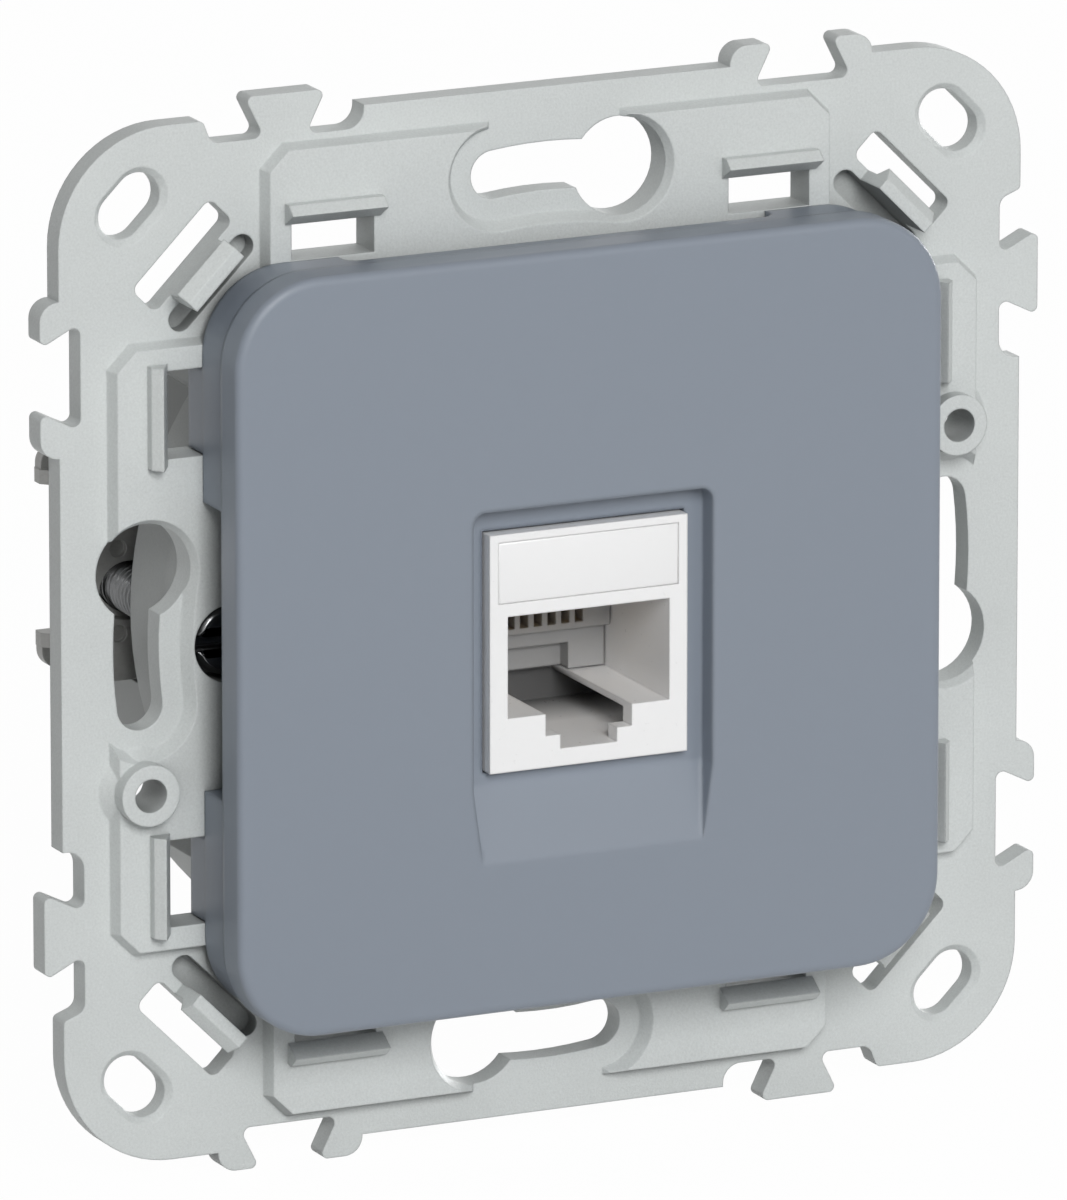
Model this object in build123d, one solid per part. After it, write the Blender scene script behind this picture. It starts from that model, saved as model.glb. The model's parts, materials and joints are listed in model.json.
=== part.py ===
from build123d import *
import os

# Flush-mounted 8-position data and telephone socket on a square support frame.
# +Z up, front towards -Y, origin in the middle of the wall plane, the back of the flange.
# A size named _FRONT is counted from the wall plane towards the front.

# Support frame: linking outline
LINK_PITCH = 71.0  # centre distance of two linked frames
EDGE_GAP = 0.2  # between the edges of two linked frames
LINK_FROM_EDGE = 16.4  # tongues and sockets from the next edge
TONGUE_OUT = 1.35  # tongue tip beyond the edge
TONGUE_TIP_HALF = 2.95
TONGUE_NECK_HALF = 1.5
TONGUE_PLAY = 0.5  # sideways between a tongue and its socket
LINK_PLAY = 0.38  # between a tongue tip and the socket floor
PAD_OUT = 1.37  # pad that holds the socket, beyond the edge
PAD_INNER = 5.4
PAD_OUTER = 5.2
NOTCH_INNER = 5.7
NOTCH_OUTER = 5.95
NOTCH_SLANT = 0.6
CORNER_RADIUS = 7.8
SHOULDER_RADIUS = 1.3
ROOT_RADIUS = 0.5
TIP_RADIUS = 0.4

# Support frame: plate and raised cross
FLANGE = 1.86
STEP = 1.0  # raised cross above the flange
STEP_SLOPE = 19  # degrees off the depth axis
CROSS_HALF = 20.9
CROSS_IN_TALL = 2.0  # ends of the cross, in from the edge
CROSS_IN_WIDE = 3.4
CROSS_CHAMFER = 1.6

# Support frame: keyholes for the wall box screws
SCREW_CIRCLE = 60.0
KEY_SLOT = 3.3
KEY_HOLE_RADIUS = 3.35
KEY_SLOT_ANGLE = 7.4
KEY_HOLE_ANGLE = 10.2
LEDGE_HALF = 3.15  # sunk ledge for the screw head, either side of the slot
LEDGE_LEFT = 4.2
LEDGE_RIGHT = 5.4
LEDGE_SLOPE = 30  # degrees off the depth axis

# Support frame: clip windows and catch bars for the trim
WINDOW_FROM = 13.03
WINDOW_TO = 19.03
WINDOW_INNER = 25.6
WINDOW_OUTER = 28.05
LEG_WINDOW_INNER = 23.9  # the side windows also take the legs of the cover
BAR_OVERLAP = 0.48
BAR_WIDTH = 1.45
BAR_HEIGHT = 1.34
BAR_CREST_AT = 0.85
BAR_SHOULDER = 0.64

# Support frame: corners
CORNER_SLOT_LENGTH = 8.0
CORNER_SLOT_WIDTH = 2.4
CORNER_SLOT_IN = 9.38  # in from the rounded corner
CORNER_SLOT_RADIUS = 0.6
HOOK_LENGTH = 4.8
HOOK_WALL = 0.85
HOOK_HEIGHT = 2.94
HOOK_LIP = 0.72
HOOK_LIP_DROP = 0.8
POCKET_LENGTH = 8.0
POCKET_WIDTH = 1.7
POCKET_DEPTH = 1.3
OVAL_IN = 4.23  # in from the rounded corner
OVAL_RADIUS = 1.6
OVAL_SPACING = 1.7
OVAL_SINK = 0.45

# Support frame: bosses for the trim screws
BOSS_AT = (29.87, 9.52)
BOSS_RADIUS = 2.1
BOSS_FOOT = 2.9
BOSS_HEIGHT = 2.08
BOSS_BORE = 1.15

# Support frame: collar behind the plate
COLLAR_RADIUS = 26.0
COLLAR_HALF_HEIGHT = 22.0
COLLAR_WALL = 1.6
COLLAR_DEPTH = 8.1
CENTRING_RADIUS = 28.7  # pads on the diagonals that centre the frame in a round box
CENTRING_ANGLE = 10.4
CENTRING_DEPTH = 10.0

# Cover
COVER_HALF = 25.9
COVER_RADIUS = 6.0
COVER_WALL = 1.4
COVER_FACE = 1.5
COVER_FRONT = 9.35
COVER_EDGE = 0.5
COVER_INSET = 0.34  # lower part of the side wall
COVER_INSET_FRONT = 6.6
COVER_GAP = 0.05  # between the cover and the raised cross
RIM_TALL_HALF = 15.7  # raised rim above and below
RIM_TALL_FRONT = 4.5
RIM_WIDE_HALF = 9.9  # raised rim at the sides, the way to the claw screws
RIM_WIDE_FRONT = 6.5
RIM_RADIUS = 0.9
LEG_PLAY = 0.12
LEG_FRONT = 0.5
LEG_SINK = 0.06
LEG_RADIUS = 0.6
PAN_HALF = 8.82
PAN_TOP = 8.7
PAN_BOTTOM = 15.5
PAN_FOOT = 10.4  # where the ramp starts
PAN_DEPTH = 1.65
PAN_NARROWING = 0.7
PAN_RADIUS = 0.9
PAN_WALL = 1.2

# Jack
JACK_HALF = 7.28
JACK_TOP = 6.87
JACK_BOTTOM = 9.48
JACK_FRONT = 8.6
JACK_PLAY = 0.15  # in the cover
JACK_CLEARANCE = 0.5  # in the frame and the housing
PLUG_HALF = 5.96
PLUG_TOP = 1.2
PLUG_BOTTOM = 5.8
PLUG_DEPTH = 9.05
LATCH_HALF = 3.18
LATCH_BOTTOM = 7.3
TAB_HALF = 2.09
TAB_BOTTOM = 8.28
JACK_WALL = 1.4  # front wall below the plug
JACK_SIDE = 0.8
LATCH_ROOM_DEPTH = 12.55
LATCH_SHELF = 0.45
LABEL_HALF = 6.63
LABEL_TOP = 6.32
LABEL_BOTTOM = 2.1
LABEL_DEPTH = 0.7
LABEL_PLAY = 0.1

# Contacts
CONTACTS = 8
CONTACT_PITCH = 1.016
WIRE = 0.4
ROW_HEIGHTS = (2.6, 3.4)
BEND_RADII = (0.5, 0.95)
BEND_FRONT = 8.0  # where the lower row and the sloping run would meet
WIRE_END_DEPTH = 1.6
WIRE_END_DROP = 1.62
CHANNEL_HALF = 4.4
CHANNEL_TOP = 4.1
CHANNEL_WALL = 1.3
CARRIER_PLAY = 0.1
ARM_LENGTH = 4.4
ARM_LIFT = 0.1
ARM_THICK = 0.9
COMB_SLOT = 0.6
COMB_DEPTH = 1.7
COMB_HEIGHT = 3.37
COMB_BAR = 0.43
COMB_LEDGE = 0.92
RECESS_TOP = 3.87
RECESS_DEPTH = 2.15

# Circuit board and terminals
BOARD_DEPTH = 10.0
BOARD = 1.6
BOARD_PLAY = 0.3
TAIL_LENGTH = 0.8
TAIL_HOLE = 0.4
TERMINALS = 4
TERMINAL_PITCH = 4.2
BLOCK_FROM_WALL = 2.95
BLOCK_HALF_HEIGHT = 3.25
BLOCK_END = 1.3
BLOCK_DEPTH = 11.0
BLADE_WIDTH = 3.0
BLADE = 0.5
BLADE_PLAY = 0.1
BLADE_SINK = 1.0
BLADE_FORK = 4.6
BLADE_MOUTH = 0.36
BLADE_FLARE = 0.7
PIN = 0.6
PIN_HOLE = 0.55
CABLE_SLOT = 1.1
CABLE_SLOT_DEPTH = 5.4

# Rear housing
HOUSING_PLAY = 0.2
HOUSING_PLAY_TALL = 1.1
HOUSING_DEPTH = 24.0
HOUSING_WALL = 1.6
FRONT_WALL = 2.0
WELL_HALF_WIDTH = 12.5
WELL_HALF_HEIGHT = 14.9
CABLE_EXIT = 7.0
CABLE_EXIT_DEPTH = 7.5

# Screws of the housing and of the board
FIX_AT = (15.2, 12.3)
FIX_RADIUS = 1.25
FIX_PLAY = 0.1
FIX_HEAD = 2.1
FIX_HEAD_HEIGHT = 1.4
FIX_HEAD_PLAY = 0.25
FIX_SEAT = 5.0
FIX_TIP_FRONT = 5.2
FIX_BOSS = 2.6
FIX_BOSS_FRONT = 6.0
BOARD_SCREW = 1.0
BOARD_SCREW_HEAD = 1.9
BOARD_SCREW_HEAD_HEIGHT = 1.2
BOARD_SCREW_GRIP = 5.0
DRIVE_SLOT = 0.6
DRIVE_SLOT_DEPTH = 0.6

# Claws
CLAW_SCREW_AT = 23.5
CLAW_SCREW = 1.75
CLAW_SCREW_PLAY = 0.3
CLAW_HEAD = 2.4
CLAW_HEAD_HEIGHT = 1.85
CLAW_HEAD_FRONT = 2.25
CLAW_HEAD_GAP = 0.05
CLAW_SLOT = 0.65
CLAW_SLOT_DEPTH = 0.8
CLAW_SCREW_DEPTH = 20.5
CUP_BORE = 2.7
CUP_WALL = 0.6
CUP_DEPTH = 1.5
PIVOT_AT = 20.0
PIVOT_DEPTH = 13.6
PIVOT_PLAY = 0.2
SHEET = 1.2
WEB_HALF_HEIGHT = 6.2
WEB_REACH = 7.2
WEB_SLOT_FROM = 1.3
WEB_SLOT_TO = 6.1
WEB_SLOT_HEIGHT = 4.1
DIMPLE_AT = (4.7, 2.95)
DIMPLE_RADIUS = 0.6
DIMPLE_DEPTH = 0.4
ARM_SHEET = 1.0
ARM_SPAN = 11.4
ARM_INSET = 0.3
ARM_SHOULDER = 3.2
ARM_ROOT = 1.6
ARM_TAPER = 0.9
ARM_BEND = 2.0
TOOTH_REACH = 5.9
TOOTH_HEIGHT = 1.0
TOOTH_WIDTH = 3.3
TOOTH_EDGE = 0.15
EAR_INSET = 0.1
EAR_WIDTH = 1.8
EAR_HEIGHT = 1.6
EAR_RADIUS = 1.3
GUIDE_PLAY = 0.3
NUT_RADIUS = 2.6
NUT_BACK = 0.8
NUT_GAP = 0.25
NUT_BORE_PLAY = 0.05

# Worked out from the sizes above
EDGE = (LINK_PITCH - EDGE_GAP) / 2
LINK_OFFSET = EDGE - LINK_FROM_EDGE
TONGUE_REACH = EDGE + TONGUE_OUT
PAD_REACH = EDGE + PAD_OUT
CROSS_TALL = EDGE - CROSS_IN_TALL
CROSS_WIDE = EDGE - CROSS_IN_WIDE
CORNER_REACH = 2**0.5 * (EDGE - CORNER_RADIUS) + CORNER_RADIUS
CORNER_SLOT_AT = CORNER_REACH - CORNER_SLOT_IN
OVAL_AT = CORNER_REACH - OVAL_IN
SOCKET_FLOOR = LINK_PITCH - TONGUE_REACH - LINK_PLAY
NOTCH_FLOOR = LINK_PITCH - PAD_REACH - LINK_PLAY
CROSS_FRONT = FLANGE + STEP
SLOT_CIRCLE = SCREW_CIRCLE / 2
BOARD_BACK = BOARD_DEPTH + BOARD
PAN_FLOOR_FRONT = COVER_FRONT - PAN_DEPTH
HOUSING_RADIUS = COLLAR_RADIUS - COLLAR_WALL - HOUSING_PLAY
PIVOT_RADIUS = SHEET / 2
NOTCH_WALL = PIVOT_AT - PIVOT_RADIUS - PIVOT_PLAY
NOTCH_HALF_HEIGHT = WEB_HALF_HEIGHT + GUIDE_PLAY
CHAMBER_HALF_WIDTH = NOTCH_WALL - HOUSING_WALL
HOUSING_HALF_HEIGHT = COLLAR_HALF_HEIGHT - COLLAR_WALL - HOUSING_PLAY_TALL
CHAMBER_HALF_HEIGHT = HOUSING_HALF_HEIGHT - HOUSING_WALL
BLOCK_AT = CHAMBER_HALF_HEIGHT - BLOCK_FROM_WALL - BLOCK_HALF_HEIGHT


def slab(outline, front, back):
    """Solid between two depths, from an outline with X across and Z up."""
    return extrude(Plane.XZ.offset(-back) * outline, amount=back - front, dir=(0, -1, 0))


def side_prism(outline, x_from, x_to):
    """Solid between two places across, from an outline with Y first and Z up."""
    return extrude(Plane.YZ.offset(x_from) * outline, amount=x_to - x_from, dir=(1, 0, 0))


def upright_prism(outline, z_from, z_to):
    """Solid between two heights, from an outline with X across and Y going back."""
    return extrude(Pos(0, 0, z_from) * outline, amount=z_to - z_from, dir=(0, 0, 1))


def block(x_from, x_to, y_from, y_to, z_from, z_to):
    """Box between these limits."""
    centre = ((x_from + x_to) / 2, (y_from + y_to) / 2, (z_from + z_to) / 2)
    return Pos(*centre) * Box(x_to - x_from, y_to - y_from, z_to - z_from)


def rounded(corners):
    """Face whose corners are given as across, up and the radius there."""
    points = [(across, up) for across, up, _ in corners]
    return make_face(FilletPolyline(*points, radius=[radius for _, _, radius in corners], close=True))


def quarters(shape):
    """Four copies of a flat outline, a quarter turn apart."""
    return [Rot(0, 0, -90 * quarter) * shape for quarter in range(4)]


def halves(shape):
    """A solid and its copy half a turn further round the depth axis."""
    return [shape, Rot(0, 180, 0) * shape]


def both_sides(x_from, x_to, z_from, z_to):
    """Two rectangles, left and right of the middle."""
    size = (x_to - x_from, z_to - z_from)
    up = (z_from + z_to) / 2
    return [Pos(side * (x_from + x_to) / 2, up) * Rectangle(*size) for side in (-1, 1)]


# Support frame


def side_corners():
    """One side of the outline: the tongue in its notch, the socket in its pad and the corner."""
    tongue = -LINK_OFFSET
    socket = LINK_OFFSET
    spread = (TONGUE_TIP_HALF - TONGUE_NECK_HALF) / (TONGUE_REACH - NOTCH_FLOOR)
    mouth = TONGUE_NECK_HALF + spread * (LINK_PITCH - PAD_REACH - NOTCH_FLOOR) + TONGUE_PLAY
    root = TONGUE_TIP_HALF + spread * LINK_PLAY + TONGUE_PLAY
    return [
        (tongue - NOTCH_OUTER, EDGE, TIP_RADIUS),
        (tongue - NOTCH_OUTER + NOTCH_SLANT, NOTCH_FLOOR, SHOULDER_RADIUS - ROOT_RADIUS),
        (tongue - TONGUE_NECK_HALF, NOTCH_FLOOR, ROOT_RADIUS),
        (tongue - TONGUE_TIP_HALF, TONGUE_REACH, TIP_RADIUS),
        (tongue + TONGUE_TIP_HALF, TONGUE_REACH, TIP_RADIUS),
        (tongue + TONGUE_NECK_HALF, NOTCH_FLOOR, ROOT_RADIUS),
        (tongue + NOTCH_INNER, NOTCH_FLOOR, SHOULDER_RADIUS),
        (tongue + NOTCH_INNER, EDGE, 0),
        (socket - PAD_INNER, EDGE, 0),
        (socket - PAD_INNER, PAD_REACH, SHOULDER_RADIUS),
        (socket - mouth, PAD_REACH, TIP_RADIUS),
        (socket - root, SOCKET_FLOOR, ROOT_RADIUS),
        (socket + root, SOCKET_FLOOR, ROOT_RADIUS),
        (socket + mouth, PAD_REACH, TIP_RADIUS),
        (socket + PAD_OUTER, PAD_REACH, SHOULDER_RADIUS),
        (socket + PAD_OUTER, EDGE, 0),
        (EDGE, EDGE, CORNER_RADIUS),
    ]


def frame_outline():
    corners = []
    for quarter in range(4):
        for across, up, radius in side_corners():
            turned = Vector(across, up).rotate(Axis.Z, -90 * quarter)
            corners.append((turned.X, turned.Y, radius))
    return rounded(corners)


def on_circle(degrees):
    """Angle of an arc, counted anticlockwise from the right, for one counted clockwise from the top."""
    return 90 - degrees


def key_arc():
    """Centre line of a keyhole, from its slot to its round end."""
    return CenterArc(
        (0, 0), SLOT_CIRCLE, on_circle(KEY_HOLE_ANGLE), KEY_HOLE_ANGLE + KEY_SLOT_ANGLE
    )


def raised_cross():
    """Cross with sloping edges that stands above the flange, sunk round the keyholes."""
    cross = Rectangle(2 * CROSS_HALF, 2 * CROSS_TALL) + Rectangle(2 * CROSS_WIDE, 2 * CROSS_HALF)
    outer = cross.vertices().sort_by(lambda corner: Vector(corner).length)[-8:]
    cross = chamfer(outer, CROSS_CHAMFER)
    foot = Plane.XZ.offset(FLANGE)
    raised = extrude(foot * cross, amount=STEP, taper=STEP_SLOPE)
    reach = SLOT_CIRCLE + 2 * LEDGE_HALF
    way_out = Pos((LEDGE_RIGHT - LEDGE_LEFT) / 2, (SLOT_CIRCLE + reach) / 2) * Rectangle(
        LEDGE_LEFT + LEDGE_RIGHT, reach - SLOT_CIRCLE
    )
    for outline in (SlotArc(key_arc(), 2 * LEDGE_HALF), way_out):
        cut = extrude(foot * outline, amount=STEP, taper=-LEDGE_SLOPE)
        raised -= [Rot(0, 90 * quarter, 0) * cut for quarter in range(4)]
    return raised


def keyholes():
    round_end = Vector(0, SLOT_CIRCLE).rotate(Axis.Z, -KEY_HOLE_ANGLE)
    keyhole = SlotArc(key_arc(), KEY_SLOT) + Pos(round_end.X, round_end.Y) * Circle(KEY_HOLE_RADIUS)
    return [slab(shape, -CROSS_FRONT, 0) for shape in quarters(keyhole)]


def windows():
    """Two clip windows in each side, longer inwards where the cover has its legs."""
    cuts = []
    for quarter in range(4):
        inner = WINDOW_INNER if quarter % 2 == 0 else LEG_WINDOW_INNER
        for outline in both_sides(WINDOW_FROM, WINDOW_TO, inner, WINDOW_OUTER):
            cuts.append(slab(Rot(0, 0, -90 * quarter) * outline, -CROSS_FRONT, 0))
    return cuts


def catch_bars():
    """Bars with a sloping crest at the outer edge of the windows."""
    foot = CROSS_FRONT - STEP / 2
    profile = Polygon(
        (-foot, WINDOW_OUTER),
        (-CROSS_FRONT, WINDOW_OUTER),
        (-CROSS_FRONT - BAR_HEIGHT, WINDOW_OUTER + BAR_CREST_AT),
        (-CROSS_FRONT - BAR_SHOULDER, WINDOW_OUTER + BAR_WIDTH),
        (-foot, WINDOW_OUTER + BAR_WIDTH),
        align=None,
    )
    bars = []
    for quarter in range(4):
        for side in (-1, 1):
            ends = sorted((side * (WINDOW_FROM - BAR_OVERLAP), side * (WINDOW_TO + BAR_OVERLAP)))
            bars.append(Rot(0, 90 * quarter, 0) * side_prism(profile, *ends))
    return bars


def corner_hook():
    """Hooked bar beside the slot of a corner, before it is turned onto the diagonal."""
    inner = CORNER_SLOT_AT - CORNER_SLOT_WIDTH / 2 - HOOK_WALL
    edge = inner + HOOK_WALL
    top = FLANGE + HOOK_HEIGHT
    profile = Polygon(
        (-FLANGE, inner),
        (-top, inner),
        (-top, edge),
        (-top + HOOK_LIP_DROP, edge + HOOK_LIP),
        (-top + 2 * HOOK_LIP_DROP, edge),
        (-FLANGE, edge),
        align=None,
    )
    return side_prism(profile, -HOOK_LENGTH / 2, HOOK_LENGTH / 2)


def funnel(outline, front, depth):
    """Cut from a front plane that narrows by its own depth."""
    plane = Plane(origin=(0, front, 0), x_dir=(-1, 0, 0), z_dir=(0, 1, 0))
    return extrude(plane * outline, amount=depth, taper=45)


def corner_cuts():
    """Slot, shallow pocket and oval hole of a corner, before they are turned onto the diagonal."""
    slot = Pos(0, CORNER_SLOT_AT) * RectangleRounded(
        CORNER_SLOT_LENGTH, CORNER_SLOT_WIDTH, CORNER_SLOT_RADIUS
    )
    pocket_at = CORNER_SLOT_AT - CORNER_SLOT_WIDTH / 2 - HOOK_WALL - POCKET_WIDTH / 2
    pocket = Pos(0, pocket_at) * SlotOverall(POCKET_LENGTH, POCKET_WIDTH)
    oval = Pos(0, OVAL_AT) * SlotCenterToCenter(OVAL_SPACING, 2 * OVAL_RADIUS)
    mouth = Pos(0, OVAL_AT) * SlotCenterToCenter(OVAL_SPACING, 2 * (OVAL_RADIUS + OVAL_SINK))
    return [
        slab(slot, -FLANGE, 0),
        slab(pocket, -FLANGE, POCKET_DEPTH - FLANGE),
        slab(oval, -FLANGE, 0),
        funnel(mouth, -FLANGE, OVAL_SINK),
    ]


def diagonals(solids):
    """Copies of these solids on the four diagonals."""
    return [Rot(0, 45 + 90 * quarter, 0) * solid for quarter in range(4) for solid in solids]


def trim_boss():
    """Boss that takes a screw of the trim, with a sloping foot."""
    place = Pos(*BOSS_AT)
    post = slab(place * Circle(BOSS_RADIUS), -FLANGE - BOSS_HEIGHT, -FLANGE)
    foot = extrude(
        Plane.XZ.offset(FLANGE) * (place * Circle(BOSS_FOOT)), amount=BOSS_FOOT - BOSS_RADIUS, taper=45
    )
    return post + foot


def collar_outline(radius, half_height):
    return Circle(radius) & Rectangle(2 * radius, 2 * half_height)


def collar():
    outer = collar_outline(COLLAR_RADIUS, COLLAR_HALF_HEIGHT)
    inner = collar_outline(COLLAR_RADIUS - COLLAR_WALL, COLLAR_HALF_HEIGHT - COLLAR_WALL)
    return slab(outer, -STEP, COLLAR_DEPTH) - slab(inner, 0, COLLAR_DEPTH), slab(inner, -STEP, 0)


def centring_pad():
    """Pad outside the collar, before it is turned onto the diagonal."""
    ring = Circle(CENTRING_RADIUS) - Circle(COLLAR_RADIUS - COLLAR_WALL / 2)
    arc = CenterArc((0, 0), 2 * CENTRING_RADIUS, on_circle(CENTRING_ANGLE), 2 * CENTRING_ANGLE)
    wedge = Polygon((0, 0), arc @ 0, arc @ 1, align=None)
    return slab(ring & wedge, -STEP, CENTRING_DEPTH)


def jack_way(play, front, back):
    """Room round the jack, with this clearance."""
    outline = Rectangle(2 * (JACK_HALF + play), JACK_TOP + JACK_BOTTOM + 2 * play)
    return slab(Pos(0, (JACK_TOP - JACK_BOTTOM) / 2) * outline, front, back)


def claw_cup():
    """Cup behind the plate that seats the head of the left claw screw."""
    return slab(Pos(-CLAW_SCREW_AT, 0) * Circle(CUP_BORE + CUP_WALL), -STEP, CUP_DEPTH)


def claw_cup_bore():
    place = Pos(-CLAW_SCREW_AT, 0)
    seat = CLAW_HEAD_HEIGHT - CLAW_HEAD_FRONT + CLAW_HEAD_GAP
    way = CLAW_SCREW + CLAW_SCREW_PLAY
    return slab(place * Circle(CUP_BORE), -CROSS_FRONT, seat) + slab(
        place * Circle(way), seat, COLLAR_DEPTH
    )


def fix_boss():
    return slab(Pos(*FIX_AT) * Circle(FIX_BOSS), -FIX_BOSS_FRONT, -STEP)


def fix_boss_bore():
    return slab(Pos(*FIX_AT) * Circle(FIX_RADIUS + FIX_PLAY), -FIX_TIP_FRONT - 2 * FIX_PLAY, -STEP)


def support_frame():
    ring, pocket = collar()
    frame = slab(frame_outline(), -FLANGE, 0) + raised_cross() + ring
    frame -= pocket
    frame += catch_bars() + diagonals([corner_hook(), centring_pad()])
    frame += halves(trim_boss()) + halves(claw_cup()) + halves(fix_boss())
    frame -= keyholes() + windows() + diagonals(corner_cuts())
    frame -= halves(slab(Pos(*BOSS_AT) * Circle(BOSS_BORE), -FLANGE - BOSS_HEIGHT, 0))
    frame -= halves(claw_cup_bore()) + halves(fix_boss_bore())
    return frame - jack_way(JACK_CLEARANCE, -CROSS_FRONT, -STEP)


# Cover


def pan_cut():
    """Sunk pan round the jack, with a ramp at its lower end."""
    narrow = PAN_HALF - PAN_NARROWING
    outline = rounded(
        [
            (-PAN_HALF, PAN_TOP, PAN_RADIUS),
            (PAN_HALF, PAN_TOP, PAN_RADIUS),
            (PAN_HALF, -PAN_FOOT, 0),
            (narrow, -PAN_BOTTOM, 0),
            (-narrow, -PAN_BOTTOM, 0),
            (-PAN_HALF, -PAN_FOOT, 0),
        ]
    )
    profile = Polygon(
        (-COVER_FRONT, PAN_TOP),
        (-PAN_FLOOR_FRONT, PAN_TOP),
        (-PAN_FLOOR_FRONT, -PAN_FOOT),
        (-COVER_FRONT, -PAN_BOTTOM),
        align=None,
    )
    return slab(outline, -COVER_FRONT, -PAN_FLOOR_FRONT) & side_prism(profile, -PAN_HALF, PAN_HALF)


def rim_cuts():
    """Raised rims: low above and below, high at the sides."""
    foot = -CROSS_FRONT
    tall = Pos(0, -RIM_TALL_FRONT / 2) * RectangleRounded(
        2 * RIM_TALL_HALF, RIM_TALL_FRONT, RIM_RADIUS
    )
    wide = Pos(0, -RIM_WIDE_FRONT / 2) * RectangleRounded(
        2 * RIM_WIDE_HALF, RIM_WIDE_FRONT, RIM_RADIUS
    )
    across = upright_prism(tall, -COVER_HALF, COVER_HALF)
    turned = upright_prism(wide, -COVER_HALF, COVER_HALF)
    core = block(
        WINDOW_FROM - COVER_HALF,
        COVER_HALF - WINDOW_FROM,
        -COVER_FRONT,
        foot,
        WINDOW_FROM - COVER_HALF,
        COVER_HALF - WINDOW_FROM,
    )
    return [across - core, Rot(0, 90, 0) * turned - core]


def cover_leg(side, up):
    """Clip leg of the cover, in a side window."""
    outer = COVER_HALF - COVER_INSET - LEG_SINK
    inner = outer - COVER_WALL + LEG_SINK
    low = WINDOW_FROM + LEG_PLAY
    high = WINDOW_TO - LEG_PLAY
    leg = block(inner, outer, -RIM_WIDE_FRONT, -LEG_FRONT, low, high)
    end = leg.edges().filter_by(Axis.Z).sort_by(Axis.Y)[-2:].sort_by(Axis.X)[0]
    leg = fillet(end, LEG_RADIUS)
    return Rot(0, 0 if side > 0 else 180, 0) * (leg if up == side else mirror(leg, about=Plane.XY))


def cover_plate():
    lower = COVER_HALF - COVER_INSET
    hollow = lower - COVER_WALL
    foot = -CROSS_FRONT - COVER_GAP
    inner_front = COVER_FACE - COVER_FRONT
    shell = slab(
        RectangleRounded(2 * COVER_HALF, 2 * COVER_HALF, COVER_RADIUS),
        -COVER_FRONT,
        -COVER_INSET_FRONT,
    )
    shell = fillet(shell.faces().sort_by(Axis.Y)[0].edges(), COVER_EDGE)
    lower_radius = COVER_RADIUS - COVER_INSET
    shell += slab(
        RectangleRounded(2 * lower, 2 * lower, lower_radius), -COVER_INSET_FRONT, foot
    )
    shell -= slab(
        RectangleRounded(2 * hollow, 2 * hollow, lower_radius - COVER_WALL), inner_front, foot
    )
    shell -= rim_cuts()
    pan_back = COVER_FACE - PAN_FLOOR_FRONT
    shell += block(
        -PAN_HALF - PAN_WALL, PAN_HALF + PAN_WALL, inner_front, pan_back, -PAN_BOTTOM, PAN_TOP + PAN_WALL
    )
    shell -= pan_cut()
    shell -= jack_way(JACK_PLAY, -PAN_FLOOR_FRONT, pan_back)
    for side in (-1, 1):
        for up in (-1, 1):
            shell += cover_leg(side, up)
    return shell


# Jack


def jack_housing():
    body = block(
        -JACK_HALF, JACK_HALF, -JACK_FRONT, BOARD_DEPTH, -JACK_BOTTOM, JACK_TOP
    )
    room_half = JACK_HALF - JACK_SIDE
    room_front = JACK_WALL - JACK_FRONT
    room_back = LATCH_ROOM_DEPTH - JACK_FRONT
    room_top = -PLUG_BOTTOM - LATCH_SHELF
    body -= block(-PLUG_HALF, PLUG_HALF, -JACK_FRONT, BOARD_DEPTH, -PLUG_BOTTOM, PLUG_TOP)
    body -= block(-LATCH_HALF, LATCH_HALF, -JACK_FRONT, room_front, -LATCH_BOTTOM, -PLUG_BOTTOM)
    body -= block(-TAB_HALF, TAB_HALF, -JACK_FRONT, room_front, -TAB_BOTTOM, -LATCH_BOTTOM)
    body -= block(-LATCH_HALF, LATCH_HALF, room_front, room_back, room_top, -PLUG_BOTTOM)
    body -= block(-room_half, room_half, room_front, room_back, -TAB_BOTTOM, room_top)
    channel = CHANNEL_WALL - JACK_FRONT
    body -= block(-CHANNEL_HALF, CHANNEL_HALF, channel, BOARD_DEPTH, PLUG_TOP, CHANNEL_TOP)
    return body - block(
        -LABEL_HALF, LABEL_HALF, -JACK_FRONT, LABEL_DEPTH - JACK_FRONT, LABEL_BOTTOM, LABEL_TOP
    )


def label_carrier():
    return block(
        -LABEL_HALF + LABEL_PLAY,
        LABEL_HALF - LABEL_PLAY,
        -JACK_FRONT,
        LABEL_DEPTH - JACK_FRONT,
        LABEL_BOTTOM + LABEL_PLAY,
        LABEL_TOP - LABEL_PLAY,
    )


def contact_places():
    middle = (CONTACTS - 1) / 2
    return [(index - middle) * CONTACT_PITCH for index in range(CONTACTS)]


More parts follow.
